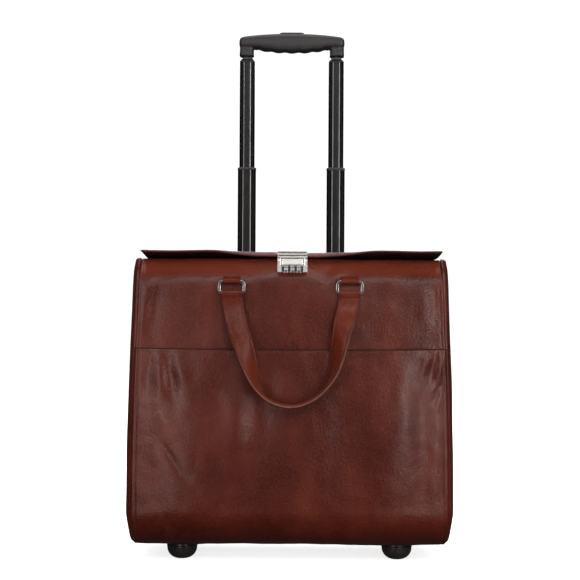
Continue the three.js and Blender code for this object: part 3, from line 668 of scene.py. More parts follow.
def front_pocket():
    """The slip pocket: filled out, pulled into folds at its corners, with a turned top edge."""
    p = front_profile(ACROSS, -LEATHER, POCKET_Z, 72.0, rows_flat=120)
    x, z = p[..., 0], p[..., 2]
    rows = p.shape[0]
    up = clamp01((z - BOTTOM_Z) / (POCKET_Z - BOTTOM_Z))
    fill = 0.0062 * (1 - np.abs(ACROSS[None, :]) ** 5) * (1 - (1 - up) ** 3)
    side = (1 - np.abs(ACROSS))[None, :] * half_width(z)
    d = fill + edge_roll(ACROSS) + seam_groove(side, SEAM_INSET)
    d += 0.0015 * smooth_noise(x, z, 0.085, 1.7) * (0.35 + 0.65 * up)
    d += 0.0003 * smooth_noise(x, z, 0.018, 5.2)
    d += folds(x, z, [
        ((-0.132, 0.280), (-0.136, 0.070), 0.0420, 0.0036),
        ((0.138, 0.284), (0.140, 0.070), 0.0420, 0.0042),
        ((-0.170, 0.286), (-0.173, 0.228), 0.0090, 0.0021),
        ((-0.163, 0.284), (-0.153, 0.220), 0.0085, -0.0021),
        ((-0.185, 0.284), (-0.189, 0.240), 0.0075, -0.0013),
        ((-0.150, 0.285), (-0.140, 0.238), 0.0095, 0.0015),
        ((-0.172, 0.210), (-0.150, 0.170), 0.0140, 0.0014),
        ((-0.169, 0.168), (-0.143, 0.127), 0.0042, -0.0010),
        ((-0.143, 0.126), (-0.118, 0.100), 0.0060, -0.0008),
        ((-0.178, 0.164), (-0.160, 0.110), 0.0160, 0.0016),
        ((-0.066, 0.246), (-0.078, 0.160), 0.0200, 0.0030),
        ((-0.036, 0.250), (-0.044, 0.170), 0.0180, -0.0022),
        ((0.010, 0.286), (0.004, 0.215), 0.0180, 0.0010),
        ((0.070, 0.270), (0.078, 0.140), 0.0240, -0.0016),
        ((0.150, 0.268), (0.152, 0.150), 0.0150, 0.0013),
        ((0.172, 0.240), (0.176, 0.110), 0.0140, -0.0012),
        ((0.192, 0.232), (0.193, 0.100), 0.0120, 0.0013),
        ((0.199, 0.286), (0.196, 0.244), 0.0052, 0.0014),
        ((0.191, 0.287), (0.184, 0.250), 0.0054, -0.0015),
        ((0.182, 0.286), (0.174, 0.258), 0.0060, 0.0013),
        ((0.203, 0.262), (0.188, 0.218), 0.0050, -0.0010),
        ((-0.196, 0.120), (-0.120, 0.060), 0.0220, 0.0014),
        ((0.080, 0.075), (0.190, 0.092), 0.0220, -0.0012),
    ])
    hem = POCKET_Z - z
    d += seam_groove(hem, 0.0034, 0.0002, 0.0012)
    d -= 0.0002 * clamp01(1 - hem / 0.0020) ** 2
    sag = 0.0016 * np.sin(np.pi * (ACROSS[None, :] * 0.5 + 0.5)) * clamp01((z - 0.2) / 0.09) ** 2
    p = p + grid_normals(p) * d[..., None]
    p[..., 2] -= sag
    p[-2, :, 2] = p[-1, :, 2] - 0.0010
    pocket = shell("pocket_leather", p, 0.0021, BODY, edge_material=HEM_EDGE_AND_PAINTED_SHADOW, round_edge=0.2)
    # The topmost strip of the face is painted dark too, a painted shadow of the gap along the pocket's top.
    columns = len(ACROSS) - 1
    for k in range((rows - 2) * columns, (rows - 1) * columns):
        pocket.data.polygons[k].material_index = 1
    put(pocket, "case", "front_pocket", slot="body_leather")
    n = grid_normals(p)
    row = nearest(p[:, len(ACROSS) // 2, 2], POCKET_Z - 0.0048)
    paths = [grid_path(p, n, cols=c) for c in across_seams(ACROSS)] + [grid_path(p, n, rows=row)[3:-3]]
    stitches("pocket_stitches", paths, "case")


def gusset(side, name):
    """A side panel: it bulges low down and folds in along its middle towards the mouth."""
    t = np.linspace(0, 1, 64)
    low = BOTTOM_Z + 0.0045
    z = np.concatenate([np.linspace(low, 0.078, 20)[:-1], np.linspace(0.078, BACK_TOP_Z, 110)])
    zz, tt = np.meshgrid(z, t, indexing="ij")
    inset = 0.0028
    r_front, r_back = FRONT_RADIUS - inset, BACK_RADIUS - inset
    drop = np.maximum(0, BOTTOM_Z + FRONT_RADIUS - zz)
    front = np.where(drop > 0, FRONT_Y + FRONT_RADIUS - np.sqrt(np.maximum(0, r_front**2 - drop**2)),
                     FRONT_Y + inset + SHOULDER_RUN / (SHOULDER_Z - FOLD_Z) * soft_step(zz - FOLD_Z, 0.002))
    drop = np.maximum(0, BOTTOM_Z + BACK_RADIUS - zz)
    back = BACK_Y - BACK_RADIUS + np.sqrt(np.maximum(0, r_back**2 - drop**2))
    y = front + (back - front) * tt
    bulge = 0.0066 * (1 - np.abs(2 * tt - 1) ** 7) * clamp01((zz - low) / 0.04)
    bulge -= 0.011 * clamp01((zz - 0.27) / 0.13) ** 1.6 * np.exp(-(((tt - 0.47) / 0.20) ** 2))
    bulge += 0.0012 * smooth_noise(y, zz, 0.07, 4 + side) * np.sin(np.pi * tt)
    bulge += folds(y, zz, [
        ((-0.060, 0.372), (-0.020, 0.300), 0.012, 0.0018),
        ((0.055, 0.366), (0.020, 0.290), 0.012, 0.0020),
        ((-0.030, 0.190), (0.010, 0.090), 0.022, 0.0016),
        ((0.060, 0.160), (0.030, 0.060), 0.020, -0.0014),
        ((-0.070, 0.120), (-0.040, 0.050), 0.014, -0.0012),
    ])
    distance = np.minimum(tt, 1 - tt) * (back - front)
    bulge += seam_groove(distance, 0.006) - 0.0022 * clamp01(1 - distance / 0.003) ** 2
    x = side * (half_width(zz) - 0.0006 + bulge)
    corner = clamp01((zz - 0.370) / (BACK_TOP_Z - 0.370)) * np.exp(-((tt / 0.16) ** 2))
    p = np.stack([x, y + 0.0055 * corner, zz + 0.0066 * corner], -1)
    piece = shell(f"gusset_leather_{name}", p, LEATHER, BODY, flip=side > 0)
    put(piece, "case", f"gusset_{name}", slot="body_leather")
    n = grid_normals(p) * (-1 if side > 0 else 1)
    stitches(f"gusset_stitches_{name}", [grid_path(p, n, cols=3)[8:], grid_path(p, n, cols=-4)[8:]], "case")


def cut_wheel_wells(panel):
    """Openings where the wheel housings come through."""
    gap = 0.0006
    for _, hand in HANDS:
        low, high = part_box(f"wheel_housing_{hand}")
        carve(panel, block("cutter", (low.x - gap, low.y - gap, low.z - 0.02),
                           (high.x + gap, high.y + 0.02, high.z + gap), 0.002, BODY))


def back_panel():
    u = np.linspace(-1, 1, 121)
    angles = np.radians(np.linspace(0, 90, 10))[:-1]
    z = np.concatenate([BOTTOM_Z + BACK_RADIUS - BACK_RADIUS * np.cos(angles),
                        np.linspace(BOTTOM_Z + BACK_RADIUS, BACK_TOP_Z, 110)])
    y = np.concatenate([BACK_Y - BACK_RADIUS + BACK_RADIUS * np.sin(angles), np.full(110, BACK_Y)])
    zz, uu = np.meshgrid(z, u, indexing="ij")
    x = uu * (half_width(zz) - SIDE_GAP)
    p = np.stack([x, np.repeat(y[:, None], len(u), 1), zz], -1)
    side = (1 - np.abs(uu)) * HALF_LOW
    d = 0.0008 * smooth_noise(x, zz, 0.08, 6.6) - 0.0006 + seam_groove(side, SEAM_INSET) + edge_roll(u)
    d -= 0.0014 * clamp01((zz - BACK_TOP_Z + 0.004) / 0.004) ** 2
    p = p - grid_normals(p) * d[..., None]
    p[..., 2] = np.maximum(p[..., 2], BOTTOM_Z - 0.0004)
    panel = shell("back_leather", p, 0.0024, BODY, flip=True)
    cut_wheel_wells(panel)
    put(panel, "case", "back_panel", slot="body_leather")
    n = -grid_normals(p)
    row = nearest(p[:, len(u) // 2, 2], BACK_TOP_Z - 0.0075)
    paths = [grid_path(p, n, cols=c)[14:] for c in across_seams(u)] + [grid_path(p, n, rows=row)[3:-3]]
    stitches("back_stitches", paths, "case")


def base_panel():
    """The flat underside."""
    low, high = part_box("base_panel")
    xx, yy = np.meshgrid(np.linspace(-HALF_LOW + 0.001, HALF_LOW - 0.001, 90),
                         np.linspace(low.y + 0.0004, high.y - 0.0004, 40))
    z = BOTTOM_Z + 0.0006 - 0.0004 * smooth_noise(xx, yy, 0.06, 2.2)
    p = np.stack([xx, yy, z], -1)
    base = shell("base_leather", p, LEATHER, BODY, flip=True)
    cut_wheel_wells(base)
    put(base, "case", "base_panel", slot="body_leather")


# ---- Lid ----


def lid():
    """The flap: its front edge curls up at the ends and dips beside the lock."""
    half, seam, flat_z = 0.1995, 0.0055, 0.4162
    rise_y = -0.044  # the front part rises from here
    u = crowded(161, 0.9)
    low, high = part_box("lid_panel")
    y = low.y + (high.y - low.y) * np.linspace(0, 1, 90) ** 1.25
    yy, xx = np.meshgrid(y, 0.001 + u * (half - 0.001), indexing="ij")
    forward = clamp01((rise_y - yy) / (rise_y - low.y))
    ends = 1 - np.exp(-((xx / 0.088) ** 4))
    lip = clamp01((low.y + 0.009 - yy) / 0.009)
    rise = forward**1.15 * (0.0066 * ends + 0.0050 * (1 - ends)) - 0.0052 * lip**1.6 * (1 - ends)
    rise += 0.0007 * smooth_noise(xx, yy, 0.06, 9.3) * (0.25 + forward)
    rise += folds(xx, yy, [
        ((-0.10, -0.098), (-0.13, -0.060), 0.012, 0.0012),
        ((0.09, -0.098), (0.12, -0.050), 0.012, -0.0012),
        ((0.15, -0.100), (0.13, -0.070), 0.014, 0.0010),
    ])
    edge = np.minimum(half - np.abs(xx), yy - low.y)
    rise += seam_groove(edge, seam, 0.0005, 0.0014) - 0.0010 * clamp01(1 - edge / 0.0022) ** 2
    top = np.stack([xx, yy, flat_z + rise], -1)
    put(shell("lid_leather", top, 0.0022, BODY, round_edge=0.5), "lid", "lid_panel", slot="body_leather")
    under = top[3:, 3:-3] - np.array([0, 0, LEATHER])
    # The lid's underside takes the very dark colour: painted shade.
    put(shell("lid_underside", under, 0.0012, UNDERSIDE_PAINTED_SHADE), "lid", "lid_lining", slot="lining_cloth")
    n = grid_normals(top)
    n *= np.sign(n[..., 2:3])
    front = grid_path(top, n, rows=nearest(y, low.y + seam))
    paths = [grid_path(top, n, cols=nearest(u * half, s * (half - seam)))[3:] for s in (-1, 1)]
    paths += [[q for q in front if s * (q[0][0] - LOCK_X) > 0.022] for s in (-1, 1)]
    paths.append(grid_path(top, n, rows=nearest(y, high.y - seam)))
    stitches("lid_stitches", paths, "lid")


def lid_hinge():
    """A leather strip from the inner back wall up and over the lid's rear edge."""
    path = np.array([(0.0618, 0.388), (0.0619, 0.396), (0.0619, 0.403), (0.0616, 0.409), (0.0606, 0.4135),
                     (0.0578, 0.4166), (0.0535, 0.4176), (0.0480, 0.4178), (0.0430, 0.4177)])
    dense = np.linspace(0, len(path) - 1, 40)
    yz = np.stack([np.interp(dense, range(len(path)), path[:, i]) for i in range(2)], 1)
    for _ in range(3):
        yz[1:-1] = (yz[:-2] + yz[1:-1] * 2 + yz[2:]) / 4
    p = ribbon(yz, 0, 0.1965, 100)
    x = p[0, :, 0]
    p[..., 1] += 0.0003 * np.sin(x * 90)
    strip = shell("hinge_leather", p, 0.0012, BODY, flip=True)
    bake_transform(strip)
    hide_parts("hinge_strip")
    stitches("hinge_stitches", [[((a, 0.0455, 0.4179), (0, 0, 1)) for a in x]], "lid")


# ---- Inside ----


def lining_reach(z, back):
    """(half width, centre y, half depth) of the lining at a height: it follows the bent front panel."""
    clear = 0.0062
    front = FRONT_Y + clear
    drop = max(0.0, BOTTOM_Z + FRONT_RADIUS - z)
    if drop > 0:
        radius = FRONT_RADIUS - clear
        front = FRONT_Y + FRONT_RADIUS - math.sqrt(max(0.0, radius**2 - min(drop, radius) ** 2))
    back = min(back, WALL_Y) - 0.0006
    return half_width(z) - 0.0068, (front + back) / 2, (back - front) / 2


def inside():
    """The cloth lining, with slack in it."""
    low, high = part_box("lining")
    side = 60  # points along each of the four sides
    ring = np.stack([bulged(np.cos(turns(side * 4)), 2 / 9), bulged(np.sin(turns(side * 4)), 2 / 9)], 1)
    heights = np.concatenate([np.linspace(low.z + 0.0012, low.z + 0.012, 6)[:-1],
                              np.linspace(low.z + 0.012, high.z, 70)])
    sections = []
    for z in heights:
        half, centre_y, depth = lining_reach(z, high.y)
        foot = 1 - 0.02 * clamp01((low.z + 0.010 - z) / 0.010) ** 2
        sections.append(np.stack([(low.x + high.x) / 2 + ring[:, 0] * half * foot,
                                  centre_y + ring[:, 1] * depth * foot, np.full(len(ring), z)], 1))
    p = np.array(sections)
    away = unit(np.stack([ring[:, 0], ring[:, 1] * 0.5, ring[:, 0] * 0], 1))
    ripple = smooth_noise(p[..., 0] + p[..., 1] * 1.7, p[..., 2], 0.05, 12.5)
    p = p - away[None] * (0.0010 + 0.0010 * clamp01(ripple + 0.6))[..., None]
    inner = p - away[None] * 0.0009
    put(sweep("lining_bag", np.concatenate([p, inner[::-1]]), LINING), "case", "lining", slot="lining_cloth")
    seam = [(q - a * 0.0010, -a) for q, a in zip(p[-3], away)]
    stitches("lining_stitches", [seam[i * side + 4:(i + 1) * side - 4] for i in range(4)], "case")


def divider():
    """The padded divider, quilted and piped round its edge."""
    low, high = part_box("divider_pad")
    uu, vv = np.meshgrid(np.linspace(-1, 1, 90), np.linspace(-1, 1, 70))
    puff = (1 - np.abs(uu) ** 8) * (1 - np.abs(vv) ** 6)
    quilt = 0.0011 * (np.abs(np.sin(uu * math.pi * 2)) ** 0.4 * np.abs(np.sin(vv * math.pi * 1.5)) ** 0.4)
    half, centre = (high - low) / 2, (high + low) / 2
    thickness = half.y * (0.28 + 0.42 * puff) + quilt * puff + 0.0002 * smooth_noise(uu, vv, 0.25, 7.7)
    thickness = np.minimum(thickness, half.y)
    x = centre.x + uu * half.x * (1 - 0.012 * (1 - puff))
    z = centre.z + vv * half.z * (1 - 0.012 * (1 - puff))
    faces_at = [np.stack([x, centre.y + s * thickness, z], -1).reshape(-1, 3) for s in (-1, 1)]
    rows, cols = uu.shape
    count = rows * cols
    at = np.arange(count).reshape(rows, cols)
    faces = quads(at) + quads(at + count)
    rim = rim_of(rows, cols)
    for here, ahead in zip(rim, rim[1:] + rim[:1]):
        a, b = int(at[here]), int(at[ahead])
        faces.append((a, b, b + count, a + count))
    pad = outward(mesh_object("divider_padding", np.concatenate(faces_at), faces, LINING))
    put(pad, "case", "divider_pad", slot="lining_cloth")
    cord = [(0.0006 - 0.0015 * math.cos(a), 0.0015 * math.sin(a)) for a in turns(8)]
    piping = border([(x[spot], z[spot]) for spot in rim], (0, centre.y, 0), cord)
    put(sweep("divider_piping", piping, STRAP, closed=True), "case", slot="strap_leather")


def laptop_strap():
    low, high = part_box("laptop_strap")
    uu, vv = np.meshgrid(np.linspace(-1, 1, 15), np.linspace(0, 1, 60))
    y = (low.y + high.y) / 2 - 0.0004 - 0.0004 * np.sin(np.pi * vv) * np.cos(uu)
    p = np.stack([uu * (high.x - 0.0003), y, low.z + (high.z - low.z) * vv], -1)
    put(shell("laptop_band", p, 0.0010, STRAP), "case", "laptop_strap", slot="strap_leather")
    n = grid_normals(p)
    n *= np.sign(-n[..., 1:2])
    stitches("laptop_stitches", [grid_path(p, n, cols=c) for c in (1, 13)], "case", 0.004, 0.0028, 0.0003)


# ---- Rings, tabs and straps ----

def ring_piece(name, node, side, body):
    """A rectangular loop of flat nickel wire with chamfered corners."""
    width, wire = 0.0366, 0.0038
    low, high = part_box(node)
    path = rounded(width - wire, high.z - low.z - wire, 0.0036, 2)
    profile = rounded(wire * 0.98, (high.y - low.y) * 0.98, 0.0011, 3)
    centre = (side * RING_X, (low.y + high.y) / 2, (low.z + high.z) / 2)
    obj = sweep(name, border(path, centre, profile), NICKEL_PLATE, closed=True)
    obj.data.materials.append(RING_FACE_PAINTED_SHADE)
    # The flat faces take the dark nickel: painted shade.
    for polygon in obj.data.polygons:
        polygon.material_index = 1 if abs(polygon.normal.y) > 0.9 else 0
    put(sharpen(obj, 38), body, node, slot="nickel")


def tab_piece(name, node, facing):
    """A leather tab that folds over the ring's top bar and is sewn to the panel."""
    low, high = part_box(node)
    half, x0 = (high.x - low.x) / 2, (low.x + high.x) / 2
    radius, top = 0.0032, high.z + 0.0002

    def face_y(z):
        """The tab's outer face: round the ring below, and lying on the panel above."""
        lying = 0.0022 + (abs(front_surface(x0, z)) if facing < 0 else BACK_Y)
        lifted = 1 - smooth_step(z, RING_Z + 0.0020, RING_Z + 0.0068)
        return facing * (lying + (RING_Y + radius - lying) * lifted)

    line = [(face_y(z), z) for z in np.linspace(top, RING_Z, 16)[:-1]]
    line += [(facing * (RING_Y + radius * math.cos(a)), RING_Z - radius * math.sin(a))
             for a in np.linspace(0, math.pi, 20)]
    line += [(facing * (RING_Y - radius), z) for z in np.linspace(RING_Z, RING_Z + 0.0030, 5)[1:]]
    put(shell(name, ribbon(line, x0, half, 25), 0.0013, STRAP, flip=facing < 0), "case", node, slot="strap_leather")
    seam, z0 = half - 0.0016, top - 0.0016
    paths = [[(x0 + t, z0) for t in np.linspace(-seam, seam, 12)]]
    paths += [[(x0 + s * seam, z) for z in np.linspace(z0, RING_Z, 8)] for s in (-1, 1)]
    paths = [[((x, face_y(z), z), (0, facing, 0)) for x, z in path] for path in paths]
    stitches(name + "_stitches", paths, "case", 0.0026, 0.0018, 0.00028)


# Each half of the hanging handle from its ring down to the lowest point: across, height, twist in degrees.
STRAP_LEFT = [(0.0775, 0.3628, 0), (0.0760, 0.350, 0), (0.0728, 0.333, 0), (0.0674, 0.314, 8), (0.0614, 0.297, 24),
              (0.0557, 0.279, 38), (0.0510, 0.2640, 52), (0.0463, 0.2500, 68), (0.0418, 0.2400, 82),
              (0.0350, 0.2310, 90), (0.0240, 0.2238, 90), (0.0120, 0.2196, 90), (0.0, 0.2182, 90)]
STRAP_RIGHT = [(0.0775, 0.3628, 0), (0.0757, 0.350, 2), (0.0718, 0.333, 11), (0.0674, 0.314, 32), (0.0640, 0.297, 43),
               (0.0612, 0.279, 57), (0.0585, 0.265, 72), (0.0540, 0.2525, 84), (0.0471, 0.2420, 90),
               (0.0375, 0.2328, 90), (0.0272, 0.2258, 90), (0.0140, 0.2202, 90), (0.0, 0.2182, 90)]


def spline(points, count):
    """A smooth curve through points, as an array."""
    p = np.array(points, float)
    keys = run_length(p[:, :2])
    p = np.vstack([2 * p[0] - p[1], p, 2 * p[-1] - p[-2]])
    out = []
    for s in np.linspace(0, keys[-1], count):
        i = min(int(np.searchsorted(keys, s, side="right")) - 1, len(keys) - 2)
        t = (s - keys[i]) / (keys[i + 1] - keys[i])
        a, b, c, d = p[i], p[i + 1], p[i + 2], p[i + 3]
        out.append(0.5 * (2 * b + (c - a) * t + (2 * a - 5 * b + 4 * c - d) * t**2
                          + (3 * b - a - 3 * c + d) * t**3))
    return np.array(out)


def strap_piece(name, node, facing, body):
    """The hanging handle: a padded leather strap that turns on edge at its lowest point."""
    x, z, twist = spline([(-x, z, a) for x, z, a in STRAP_LEFT] + STRAP_RIGHT[-2::-1], 161).T
    a = np.radians(np.minimum(twist, 90))
    forward = 0.0052 + 0.014 * np.sin(a) + 0.003 * np.cos(a)
    centres = np.stack([x, facing * (RING_Y + forward * smooth_step(0.359 - z, 0, 0.056)), z], 1)
    ahead = unit(np.gradient(centres, axis=0))
    wides = np.stack([-ahead[:, 2] * np.cos(a), -facing * np.sin(a), ahead[:, 0] * np.cos(a)], 1)
    wides = unit(wides - ahead * (wides * ahead).sum(1, keepdims=True))
    thins = np.cross(ahead, wides)
    length = run_length(centres)
    padding = smooth_step(np.minimum(length, length[-1] - length), 0.010, 0.040)[:, None]

    # The section: padding between two seams, and flat edges outside them.
    half_wide, half_thin, seam_at = 0.0136, 0.0028, 0.80
    round_angles = turns(44)
    across = bulged(np.cos(round_angles), 0.62) * half_wide
    edge = np.abs(across) / half_wide
    flat_part = 0.0016 + 0.0004 * np.exp(-(((edge - 0.93) / 0.05) ** 2))
    groove = -0.00045 * np.exp(-(((edge - seam_at) / 0.045) ** 2))
    pad = flat_part + (half_thin - flat_part) * padding * (1 - np.minimum(1.0, edge / seam_at) ** 2.6)
    up = np.sin(round_angles)
    height = (pad + groove) * np.copysign(np.minimum(1.0, np.abs(up) * 1.9) ** 0.7, up)
    sections = centres[:, None] + wides[:, None] * across[:, None] + thins[:, None] * height[..., None]
    strap = sweep(name, sections, STRAP)
    strap.data.materials.append(EDGE_WEAR_AND_HIGHLIGHT)
    # The outermost band of each side takes the paler edge leather: worn edge and painted highlight.
    count = len(round_angles)
    for polygon in strap.data.polygons[:(len(centres) - 1) * count]:
        sideways = abs(math.cos((polygon.index % count + 0.5) * 2 * math.pi / count))
        polygon.material_index = 1 if sideways > 0.975 else 0

    # The strap's end goes round the ring's lower bar and is sewn back on itself.
    radius, end_z = 0.0036, 0.3608

    def off_bar(z, lying):
        return lying + (radius - lying) * smooth_step(z, end_z, RING_LOW_Z)

    line = [(off_bar(z, 0.0024), z) for z in np.linspace(end_z, RING_LOW_Z, 10)[:-1]]
    line += [(radius * math.cos(a), RING_LOW_Z + radius * math.sin(a)) for a in np.linspace(0, math.pi, 18)]
    line += [(-off_bar(z, 0.0022), z) for z in np.linspace(RING_LOW_Z, end_z + 0.0007, 8)[1:]]
    line = [(facing * (RING_Y + y), z) for y, z in line]
    loops = [shell(f"{name}_loop", ribbon(line, side * RING_X, 0.01325, 27), 0.0014, STRAP, flip=facing > 0)
             for side, _ in HANDS]
    put(join(name, [strap] + loops), body, node, slot="strap_leather")
    paths = [list(zip(centres + wides * s * half_wide * 0.81 + thins * 0.0016, thins)) for s in (-1, 1)]
    paths += [[(p - n * 0.0032, -n) for p, n in path] for path in paths]
    paths += [[((side * RING_X + t, facing * (RING_Y + 0.0030), 0.3632), (0, facing, 0))
               for t in np.linspace(-0.0115, 0.0115, 12)] for side, _ in HANDS]
    stitches(name + "_stitches", paths, body, 0.0032, 0.0024, 0.00032)


def rings_and_straps():
    for facing, word in ((-1, "front"), (1, "rear")):
        for side, hand in HANDS:
            ring_piece(f"loop_{word}_{hand}", f"ring_{word}_{hand}", side, f"{word}_rings")
            tab_piece(f"tab_{word}_{hand}", f"ring_tab_{word}_{hand}", facing)
        strap_piece(f"handle_{word}", f"strap_{word}", facing, f"{word}_handle")


# ---- CAD nodes that stay, with rounded edges and a finish ----


def keep(material, slot, *nodes, bevel):
    """CAD nodes that stay as they are get a finish and rounded edges. Their slot is not used."""
    for node in nodes:
        obj = frame["nodes"][node]
        obj.data.materials.clear()
        obj.data.materials.append(material)
        weld = obj.modifiers.new("weld", "WELD")
        weld.merge_threshold = 0.00002
        flat = obj.modifiers.new("flat", "DECIMATE")
        flat.decimate_type, flat.angle_limit = "DISSOLVE", math.radians(2)
        rounding = obj.modifiers.new("rounding", "BEVEL")
        rounding.width, rounding.segments = bevel, 3
        rounding.limit_method, rounding.angle_limit = "ANGLE", math.radians(28)
        rounding.harden_normals = False
        obj.data.shade_smooth()
        smooth = obj.modifiers.new("normals", "WEIGHTED_NORMAL")
        smooth.keep_sharp = True


# ---- Lock ----


def digit_mesh(text, size, depth):
    curve = bpy.data.curves.new("digit", "FONT")
    curve.body, curve.size, curve.extrude = text, size, depth
    curve.align_x, curve.align_y = "CENTER", "CENTER"
    curve.resolution_u = 2
    obj = bpy.data.objects.new("digit", curve)
    bpy.context.scene.collection.objects.link(obj)
    bpy.context.view_layer.update()
    mesh = bpy.data.meshes.new_from_object(obj.evaluated_get(bpy.context.evaluated_depsgraph_get()))
    bpy.data.objects.remove(obj)
    return mesh


def dials():
    """Number wheels with knurled rims and ten numbered flats."""
    figures = [digit_mesh(str(k), 0.0030, 0.00004) for k in range(10)]
    step = math.pi / 10
    for i, letter in enumerate("abc"):
        low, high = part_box(f"dial_{i + 1}")
        centre = (low + high) / 2
        half, radius = (high.x - low.x) / 2, (high.z - low.z) / 2
        sections = []
        for a in turns(120):
            flat = (radius - 0.00015) * math.cos(step) / math.cos((a + step) % (2 * step) - step)
            tooth = radius - 0.00022 + 0.00022 * math.cos(a * 40)
            profile = [(half, 0.0016), (half, tooth - 0.0004), (half - 0.0003, tooth), (half - 0.0011, tooth),
                       (half - 0.0013, flat - 0.0001)]
            profile = [(-along, r) for along, r in profile] + profile[::-1]
            sections.append([[centre.x + along, centre.y - r * math.cos(a), centre.z + r * math.sin(a)]
                             for along, r in profile])
        wheel = sharpen(sweep(f"number_wheel_{i + 1}", sections, STEEL, closed=True), 25)
        inks = []
        for k, figure in enumerate(figures):
            mesh = figure.copy()
            mesh.transform(Matrix.Translation(centre) @ Matrix.Rotation(-2 * step * (k + i * 3 + 4), 4, "X")
                           @ Matrix.Translation((0, -(radius - 0.00025) * math.cos(step), 0))
                           @ Matrix.Rotation(math.pi / 2, 4, "X"))
            ink = bpy.data.objects.new("ink", mesh)
            bpy.context.scene.collection.objects.link(ink)
            mesh.materials.append(INK_AND_PAINTED_SHADE)
            inks.append(ink)
        put(join(f"numbers_{i + 1}", inks), f"dial_{letter}")
        put(wheel, f"dial_{letter}", f"dial_{i + 1}", slot="nickel")
    low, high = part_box("lock_base")
    # Black bars beside the number wheels: painted shade in the recess they sit in.
    shade_bars = [block("bar", (a, low.y - 0.00015, low.z + 0.0003), (b, low.y + 0.0006, low.z + 0.0086), 0.0001, INK_AND_PAINTED_SHADE)
            for a, b in [(-0.0122, -0.0091), (-0.0037, -0.0007), (0.0047, 0.0077), (0.0131, 0.0162)]]
    put(join("dial_recess_painted_shade", shade_bars), "case", slot="black_plastic")


def frame_ring(name, centre, width, height, rim, raise_by, material, body):
    """A thin raised border around a rectangle on the lock's face."""
    profile = [(rim / 2, 0.0004), (rim / 2, -raise_by * 0.6), (rim / 4, -raise_by)]
    profile = [(-u, v) for u, v in profile] + profile[::-1]
    sections = border(rounded(width, height, 0.0009, 4), centre, profile)
    put(sharpen(sweep(name, sections, material, closed=True), 50), body, slot="nickel")


def rivet(name, centre, radius, height, tilt, body):
    """A domed rivet head, upright or tilted about X."""
    profile = [(0.0, height)] + [(radius * math.sin(a), height * math.cos(a) ** 0.8)
                                 for a in np.linspace(0.2, math.pi / 2 - 0.02, 8)]
    profile += [(radius, -0.0004), (0.0, -0.0004)]
    obj = lathe(name, profile, (0, 0, 0), "Z", NICKEL, 28)
    obj.data.transform(Matrix.Translation(centre) @ Matrix.Rotation(tilt, 4, "X"))
    put(obj, body, slot="nickel")


def lock():
    keep(NICKEL, "nickel", "lock_base", bevel=0.0005)
    keep(NICKEL, "nickel", "lid_hasp", bevel=0.0006)
    keep(NICKEL_PLATE, "nickel", "lock_push_plate", bevel=0.0007)
    keep(STEEL, "steel", "dial_axle", bevel=0.0001)
    dials()
    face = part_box("lock_base")[0].y
    low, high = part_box("lock_push_plate")
    # The black ring in the last row is painted shade in the gap round the push plate.
    for name, wider, taller, y, rim, raise_by, material, body in (
            ("plate_border", 0.0034, 0.0026, face, 0.0010, 0.0007, NICKEL, "case"),
            ("plate_inset", -0.0030, -0.0024, low.y, 0.0005, 0.0003, NICKEL, "push_plate"),
            ("plate_gap_painted_shade", 0.0010, 0.0008, face, 0.0014, 0.0005, INK_AND_PAINTED_SHADE, "case")):
        frame_ring(name, ((low.x + high.x) / 2, y, (low.z + high.z) / 2), high.x - low.x + wider,
                   high.z - low.z + taller, rim, raise_by, material, body)
    low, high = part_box("lid_hasp")
    # Black strips in the hasp's two grooves: painted shade.
    for k, z in enumerate((0.4147, 0.4183)):
        line = block(f"hasp_groove_painted_shade_{k + 1}", (low.x + 0.0008, low.y + 0.0002, z),
                     (high.x - 0.0008, low.y + 0.0014, z + 0.0010), 0.0001, INK_AND_PAINTED_SHADE)
        put(line, "lid", slot="nickel")
    for s, hand in HANDS:
        rivet(f"hasp_rivet_{hand}", (LOCK_X + s * 0.0135, -0.0925, 0.4208), 0.0022, 0.0009, 0, "lid")
    for s, hand in HANDS:
        rivet(f"lock_screw_{hand}", (LOCK_X + s * 0.0173, face, 0.4085), 0.0010, 0.0004, math.pi / 2, "case")


# ---- Trolley ----


def tube_ring(width, depth, radius):
    """A tube's section: a flat band along the middle of its front and rear faces, between two steps."""
    half, band, step = width / 2, BAND_SHARE * width, 0.0007
    high = depth / 2
    edge = [(band + 0.0007, high - step), (band, high - 0.0002), (band - 0.0005, high)]
    corner = [(-(half - radius + radius * math.sin(a)), high - step - radius + radius * math.cos(a))
              for a in np.linspace(0, math.pi / 2, 8)]
    ring = edge + [(0.0, high)] + [(-a, b) for a, b in edge[::-1]] + corner + [(a, -b) for a, b in corner[::-1]]
    return [(turn * a, turn * b) for turn in (1, -1) for a, b in ring]


def hollow(name, x, z_levels, outer, inner, material):
    """A tube between heights; z_levels holds (height, outer shrink)."""
    def layer(ring, z, by=0.0):
        return [(x + a - math.copysign(by, a), TUBE_Y + b - math.copysign(by, b), z) for a, b in ring]

    bore = np.array(inner + [inner[0]])
    angles = np.unwrap(np.arctan2(bore[:, 1], bore[:, 0]))
    wanted = angles[0] + (np.array([math.atan2(b, a) for a, b in outer]) - angles[0]) % (2 * math.pi)
    matched = np.stack([np.interp(wanted, angles, bore[:, k]) for k in (0, 1)], 1)
    sections = [layer(outer, z, by) for z, by in z_levels]
    sections += [layer(matched, z_levels[-1][0]), layer(matched, z_levels[0][0])]
    return sharpen(sweep(name, sections, material, closed=True), 35)


